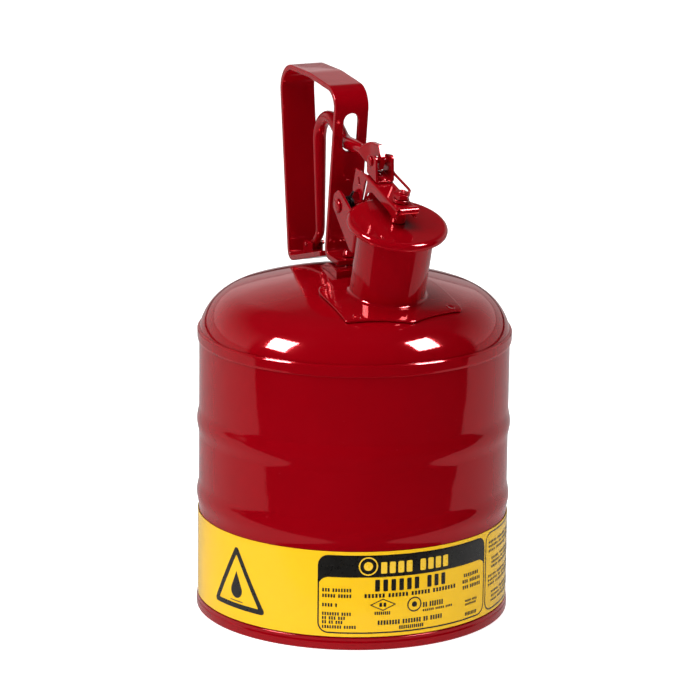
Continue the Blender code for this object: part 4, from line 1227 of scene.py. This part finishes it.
def make_yoke():
    """A stamped channel over the lid: flat top, two sides that run back to the hinge."""
    outer_bend = 0.0015
    mid_bend = outer_bend - YOKE_SHEET / 2
    side = YOKE_HALF_WIDTH - YOKE_SHEET / 2
    top = YOKE_TOP - YOKE_SHEET / 2
    route = Route(rounded([
        (-side, -0.0100, 0.0), (-side, top, mid_bend), (side, top, mid_bend), (side, -0.0100, 0.0),
    ], closed=False))
    half = route.lengths[-1] / 2
    straight = top - mid_bend

    def flat(v, s):
        """Where a point of a side wall lies on the flat pattern, from its middle."""
        reach = side - mid_bend + mid_bend * math.pi / 2 + straight - s
        return (reach, v)

    rear = [(-0.0130, 0.2640, 0.0020), (-0.0079, 0.2496, 0.0020)]
    far_eye = rounded(rear + [(-0.0040, 0.2458, 0.0)], closed=False)[:-1]
    far_eye += arc(LID_AXIS, 0.0044, 75, -150, 28) + [(-0.0095, 0.2384)]
    near_end = rounded(rear + [(-0.0175, 0.2504, 0.0010), (-0.0189, 0.2437, 0.0)], closed=False)
    relief = rounded([
        (-0.0189, 0.2437, 0.0), (-0.0205, 0.2461, 0.0004), (-0.0256, 0.2590, 0.0006),
        (-0.0286, 0.2596, 0.0006), (-0.0232, 0.2464, 0.0),
    ], closed=False, steps=5)[1:-1]
    front = rounded([
        (-0.0189, 0.2437, 0.0), (-0.0232, 0.2464, 0.0006), (-0.0279, 0.2524, 0.0010),
        (-0.0352, 0.2540, 0.0030), (-0.0551, 0.2479, 0.0040), (-0.0672, 0.2438, 0.0012),
        (-0.0661, 0.2478, 0.0),
    ], closed=False, steps=5)[1:]
    far_wall = [flat(*in_neck(y, z)) for y, z in far_eye + front]
    near_wall = [flat(*in_neck(y, z)) for y, z in near_end + relief + front]
    rear_v, front_v = 0.0345, -0.0092
    right = [(half + a, b) for a, b in far_wall]
    left = [(half - a, b) for a, b in near_wall]
    width = side - mid_bend
    pattern = [(half + width, rear_v)] + right + [(half + width, front_v)]
    pattern += [(half - width, front_v)] + left[::-1] + [(half - width, rear_v)]
    holes = []
    first, last = flat(*in_neck(-0.0172, 0.2590)), flat(*in_neck(-0.0182, 0.2560))
    for sign in (1, -1):
        ends = [(half + sign * reach, v) for reach, v in (first, last)]
        holes.append(obround(*ends, 0.0008))
    centre = flat(*in_neck(*LID_AXIS))
    holes.append(circle((half + centre[0], centre[1]), PIN_RADIUS + GAP, 24))
    mesh = bent_plate("lid_yoke", [pattern] + holes, YOKE_SHEET, 0.0003, route, neck_put)
    show("lid_carrier", mesh, "lid", ENAMEL, ["lid_yoke"])
    bore, outside = YOKE_TUBE_RADIUS - 0.0011, YOKE_TUBE_RADIUS
    tube = rounded([
        (bore, -0.0052, 0.0002), (outside, -0.0052, 0.0004), (outside, 0.0064, 0.0004),
        (bore, 0.0064, 0.0002),
    ], steps=4)
    mesh = lathe("tube", tube, across(YOKE_TUBE_CENTRE), 48)
    show("lid_carrier_tube", mesh, "lid", ENAMEL)


def make_clevis():
    """A small upright U on the yoke that holds the link pin."""
    side = CLEVIS_HALF_WIDTH - CLEVIS_SHEET / 2
    floor = YOKE_TOP + GAP + CLEVIS_SHEET / 2
    bend = 0.0012
    route = Route(rounded([
        (-side, 0.0800, 0.0), (-side, floor, bend), (side, floor, bend), (side, 0.0800, 0.0),
    ], closed=False))
    half = route.lengths[-1] / 2

    def flat(v, s):
        return (side - bend + bend * math.pi / 2 + s - floor - bend, v)

    rear, front = in_row(0.0352, YOKE_TOP + GAP), in_row(0.0222, YOKE_TOP + GAP)
    ear = rounded([
        (*in_row(0.0352, floor + bend), 0.0), (rear[0] - 0.0004, 0.2742, 0.0026),
        (front[0] + 0.0002, 0.2756, 0.0026), (*in_row(0.0222, floor + bend), 0.0),
    ], closed=False)
    ear = [flat(*in_neck(y, z)) for y, z in ear]
    right = [(half + a, b) for a, b in ear]
    left = [(half - a, b) for a, b in reversed(ear)]
    mesh = bent_plate("yoke_clevis", [right + left], CLEVIS_SHEET, 0.0003, route, neck_put)
    show("link_bracket", mesh, "lid", ENAMEL, ["yoke_clevis"])
    over = YOKE_TOP + GAP + CLEVIS_SHEET + GAP
    under = YOKE_TOP - YOKE_SHEET - GAP
    shank = 0.0014
    rivet = [(0.0, under - 0.0010), (0.0016, under - 0.0008), (0.0022, under)]
    rivet += [(shank, under), (shank, over)]
    rivet += [(0.0024 * c, over + 0.0012 * s) for c, s in arc((0.0, 0.0), 1.0, 0, 90, 8)]
    for label, v in zip(("front", "rear"), RIVET_PLACES):
        there = NECK_FRAME @ Matrix.Translation((0.0, v, 0.0))
        mesh = lathe("rivet", rivet, there, 32)
        show("bracket_rivet_" + label, mesh, "lid", ENAMEL, ["clevis_rivet_" + label])
    pin = lathe("link_pin", pin_profile(LINK_RADIUS, 0.0030, 0.0061, 0.0008), across(LINK_PIN), 32)
    show("link_rivet", pin, "lid", ENAMEL, ["link_pin"])


def make_clip():
    """A bent retaining wire from the bracket's far side towards the lid bolt."""
    x = CLEVIS_HALF_WIDTH + 0.0012
    places = [
        (x, -0.0330, 0.2655), (x, -0.0362, 0.2640), (x, -0.0450, 0.2616), (x, -0.0540, 0.2592),
        (x - 0.0004, -0.0566, 0.2580), (x - 0.0018, -0.0564, 0.2574), (x - 0.0026, -0.0530, 0.2573),
    ]
    route = smooth_line(places, 60)
    mesh = sweep("clip_wire", route, [(0.0008, 0.0008, 2)] * len(route), 14)
    show("clip", mesh, "lid", ENAMEL, ["clip_wire"], sharp=60)


# ---------------------------------------------------------------- studio

def toward(azimuth, elevation):
    """Unit vector at an azimuth from the camera's own and an elevation, in degrees."""
    a = VIEW_AZIMUTH + math.radians(azimuth)
    e = math.radians(elevation)
    return Vector((math.sin(a) * math.cos(e), -math.cos(a) * math.cos(e), math.sin(e)))


def add_light(name, azimuth, elevation, distance, size, power, aim=Vector((0.0, 0.0, 0.15))):
    data = bpy.data.lights.new(name, "AREA")
    data.shape = "RECTANGLE"
    data.size, data.size_y = size
    data.energy = power
    lamp = bpy.data.objects.new(name, data)
    bpy.context.scene.collection.objects.link(lamp)
    lamp.location = aim + toward(azimuth, elevation) * distance
    lamp.rotation_euler = (lamp.location - aim).to_track_quat("Z", "Y").to_euler()
    lamp.visible_camera = False
    return lamp


def emission(name, strength):
    material = bpy.data.materials.new(name)
    material.use_nodes = True
    nodes, links = material.node_tree.nodes, material.node_tree.links
    nodes.remove(nodes["Principled BSDF"])
    glow = nodes.new("ShaderNodeEmission")
    glow.inputs["Color"].default_value = (1.0, 1.0, 1.0, 1.0)
    glow.inputs["Strength"].default_value = strength
    links.new(glow.outputs["Emission"], nodes["Material Output"].inputs["Surface"])
    return material


def stage_piece(name, mesh, material, rays):
    """A stage object that only some kinds of ray can see."""
    mesh.materials.append(material)
    thing = bpy.data.objects.new(name, mesh)
    bpy.context.scene.collection.objects.link(thing)
    kinds = ("camera", "diffuse", "glossy", "transmission", "volume_scatter", "shadow")
    for kind in kinds:
        setattr(thing, "visible_" + kind, kind in rays)
    return thing


def keep_off(lamp, thing):
    """Let a lamp light everything except one piece."""
    lit = bpy.data.collections.new(lamp.name + "_lit")
    lit.objects.link(thing)
    lit.collection_objects[0].light_linking.link_state = "EXCLUDE"
    lamp.light_linking.receiver_collection = lit


def make_floor():
    paint = Paint("pale_floor", (0.90, 0.90, 0.90), 0.6)
    tone = paint.blend(paint.noise(6, 3), (0.895, 0.895, 0.895), (0.905, 0.905, 0.905))
    paint.link(tone, paint.shader.inputs["Base Color"])
    paint.shader.inputs["Emission Color"].default_value = (1.0, 1.0, 1.0, 1.0)
    paint.set(emission_strength=0.75)
    disc = lathe("floor", [(0.0, -0.0002), (14.0, -0.0002), (14.0, -0.01), (0.0, -0.01)], steps=96)
    stage_piece("floor", disc, paint.material, ("camera", "diffuse", "shadow"))
    sphere = bmesh.new()
    bmesh.ops.create_icosphere(sphere, subdivisions=5, radius=16.0)
    stage_piece("backdrop", as_mesh(sphere, "backdrop"), emission("backdrop_white", 1.0), ("camera",))


def make_table_reflection():
    """The bright table top that only the enamel's reflections show."""
    mesh = bpy.data.meshes.new("table_top")
    outline = [(x, -reach, 0.0) for x, reach in TABLE_EDGE] + [(3.0, 3.0, 0.0), (-3.0, 3.0, 0.0)]
    mesh.from_pydata(outline, [], [tuple(range(len(outline)))])
    mesh.transform(Matrix.Rotation(VIEW_AZIMUTH, 4, "Z"))
    stage_piece("table_top", mesh, emission("table_glow", 0.46), ("glossy",))


def make_world():
    """A bright backdrop behind the can, dark in front, with one thin dark joint low in the back."""
    world = bpy.data.worlds.new("studio")
    bpy.context.scene.world = world
    world.use_nodes = True
    nodes, links = world.node_tree.nodes, world.node_tree.links
    place = nodes.new("ShaderNodeTexCoord").outputs["Generated"]

    def ramp(value, stops):
        node = nodes.new("ShaderNodeValToRGB")
        links.new(value, node.inputs["Fac"])
        elements = node.color_ramp.elements
        while len(elements) < len(stops):
            elements.new(0.5)
        for element, (position, level) in zip(elements, stops):
            element.position = position
            element.color = (level, level, level, 1.0)
        return node.outputs["Color"]

    def maths(operation, *values):
        node = nodes.new("ShaderNodeMath")
        node.operation = operation
        for socket, value in zip(node.inputs, values):
            if isinstance(value, float):
                socket.default_value = value
            else:
                links.new(value, socket)
        return node.outputs["Value"]

    behind = nodes.new("ShaderNodeVectorMath")
    behind.operation = "DOT_PRODUCT"
    links.new(place, behind.inputs[0])
    behind.inputs[1].default_value = -toward(8, 0)
    parts = nodes.new("ShaderNodeSeparateXYZ")
    links.new(place, parts.inputs[0])
    depth = maths("MULTIPLY_ADD", behind.outputs["Value"], 0.5, 0.5)
    rise = maths("MULTIPLY_ADD", parts.outputs["Z"], 0.5, 0.5)
    back = ramp(depth, [(0.50, 0.0), (0.55, 1.0)])
    height = ramp(rise, [
        (0.499, 0.0), (0.501, 0.6), (0.580, 0.6), (0.583, 0.15), (0.586, 0.15), (0.589, 0.95),
        (0.72, 0.50), (0.84, 0.04),
    ])
    wall = maths("MULTIPLY", back, height)
    background = nodes["Background"]
    links.new(maths("ADD", wall, 0.004), background.inputs["Color"])
    background.inputs["Strength"].default_value = 0.80
    world.cycles_visibility.diffuse = False
    world.cycles_visibility.camera = False


def make_camera():
    data = bpy.data.cameras.new("camera")
    data.lens = 197.9
    data.sensor_width = 36.0
    data.shift_x = -0.0063
    data.clip_start, data.clip_end = 0.05, 60.0
    camera = bpy.data.objects.new("camera", data)
    bpy.context.scene.collection.objects.link(camera)
    heading = Vector((math.sin(VIEW_AZIMUTH), -math.cos(VIEW_AZIMUTH), 0.0))
    back = heading * math.cos(VIEW_PITCH) + Vector((0.0, 0.0, math.sin(VIEW_PITCH)))
    right = Vector((math.cos(VIEW_AZIMUTH), math.sin(VIEW_AZIMUTH), 0.0))
    turn = Matrix((right, back.cross(right), back)).transposed()
    place = Matrix.Translation(heading * VIEW_REACH + Vector((0.0, 0.0, VIEW_HEIGHT)))
    camera.matrix_world = place @ turn.to_4x4() @ Matrix.Rotation(VIEW_ROLL, 4, "Z")
    bpy.context.scene.camera = camera


def make_studio(handle):
    """Two lamps that only reflections show, and four soft ones that only spread light."""
    make_floor()
    make_table_reflection()
    make_world()
    shine_left = add_light("shine_left", -62, 33.8, 1.9, (0.56, 0.72), 68)
    shine_right = add_light("shine_right", 61.5, 40, 1.9, (0.58, 0.66), 62)
    shine_left.visible_diffuse = False
    shine_right.visible_diffuse = False
    keep_off(shine_right, handle)
    spread = (
        add_light("soft_left", -58, 40, 2.2, (1.2, 1.2), 26),
        add_light("soft_right", 63, 41, 2.2, (1.2, 1.2), 2),
        add_light("soft_top", -10, 74, 2.2, (2.0, 1.6), 60),
        add_light("soft_front", -40, 16, 3.0, (2.4, 2.0), 6),
    )
    for lamp in spread:
        lamp.visible_glossy = False
    make_camera()
    bpy.context.scene.view_settings.view_transform = "Standard"


def main():
    make_shell()
    make_dome()
    make_foot()
    make_band()
    make_print()
    make_neck_plate()
    make_spot_welds()
    make_neck()
    make_arrester()
    make_hinge()
    handle = make_strap()
    make_tray()
    make_screw()
    make_post()
    make_trigger()
    make_lid()
    make_lid_stack()
    make_bolt()
    make_yoke()
    make_clevis()
    make_clip()
    make_studio(handle)


main()
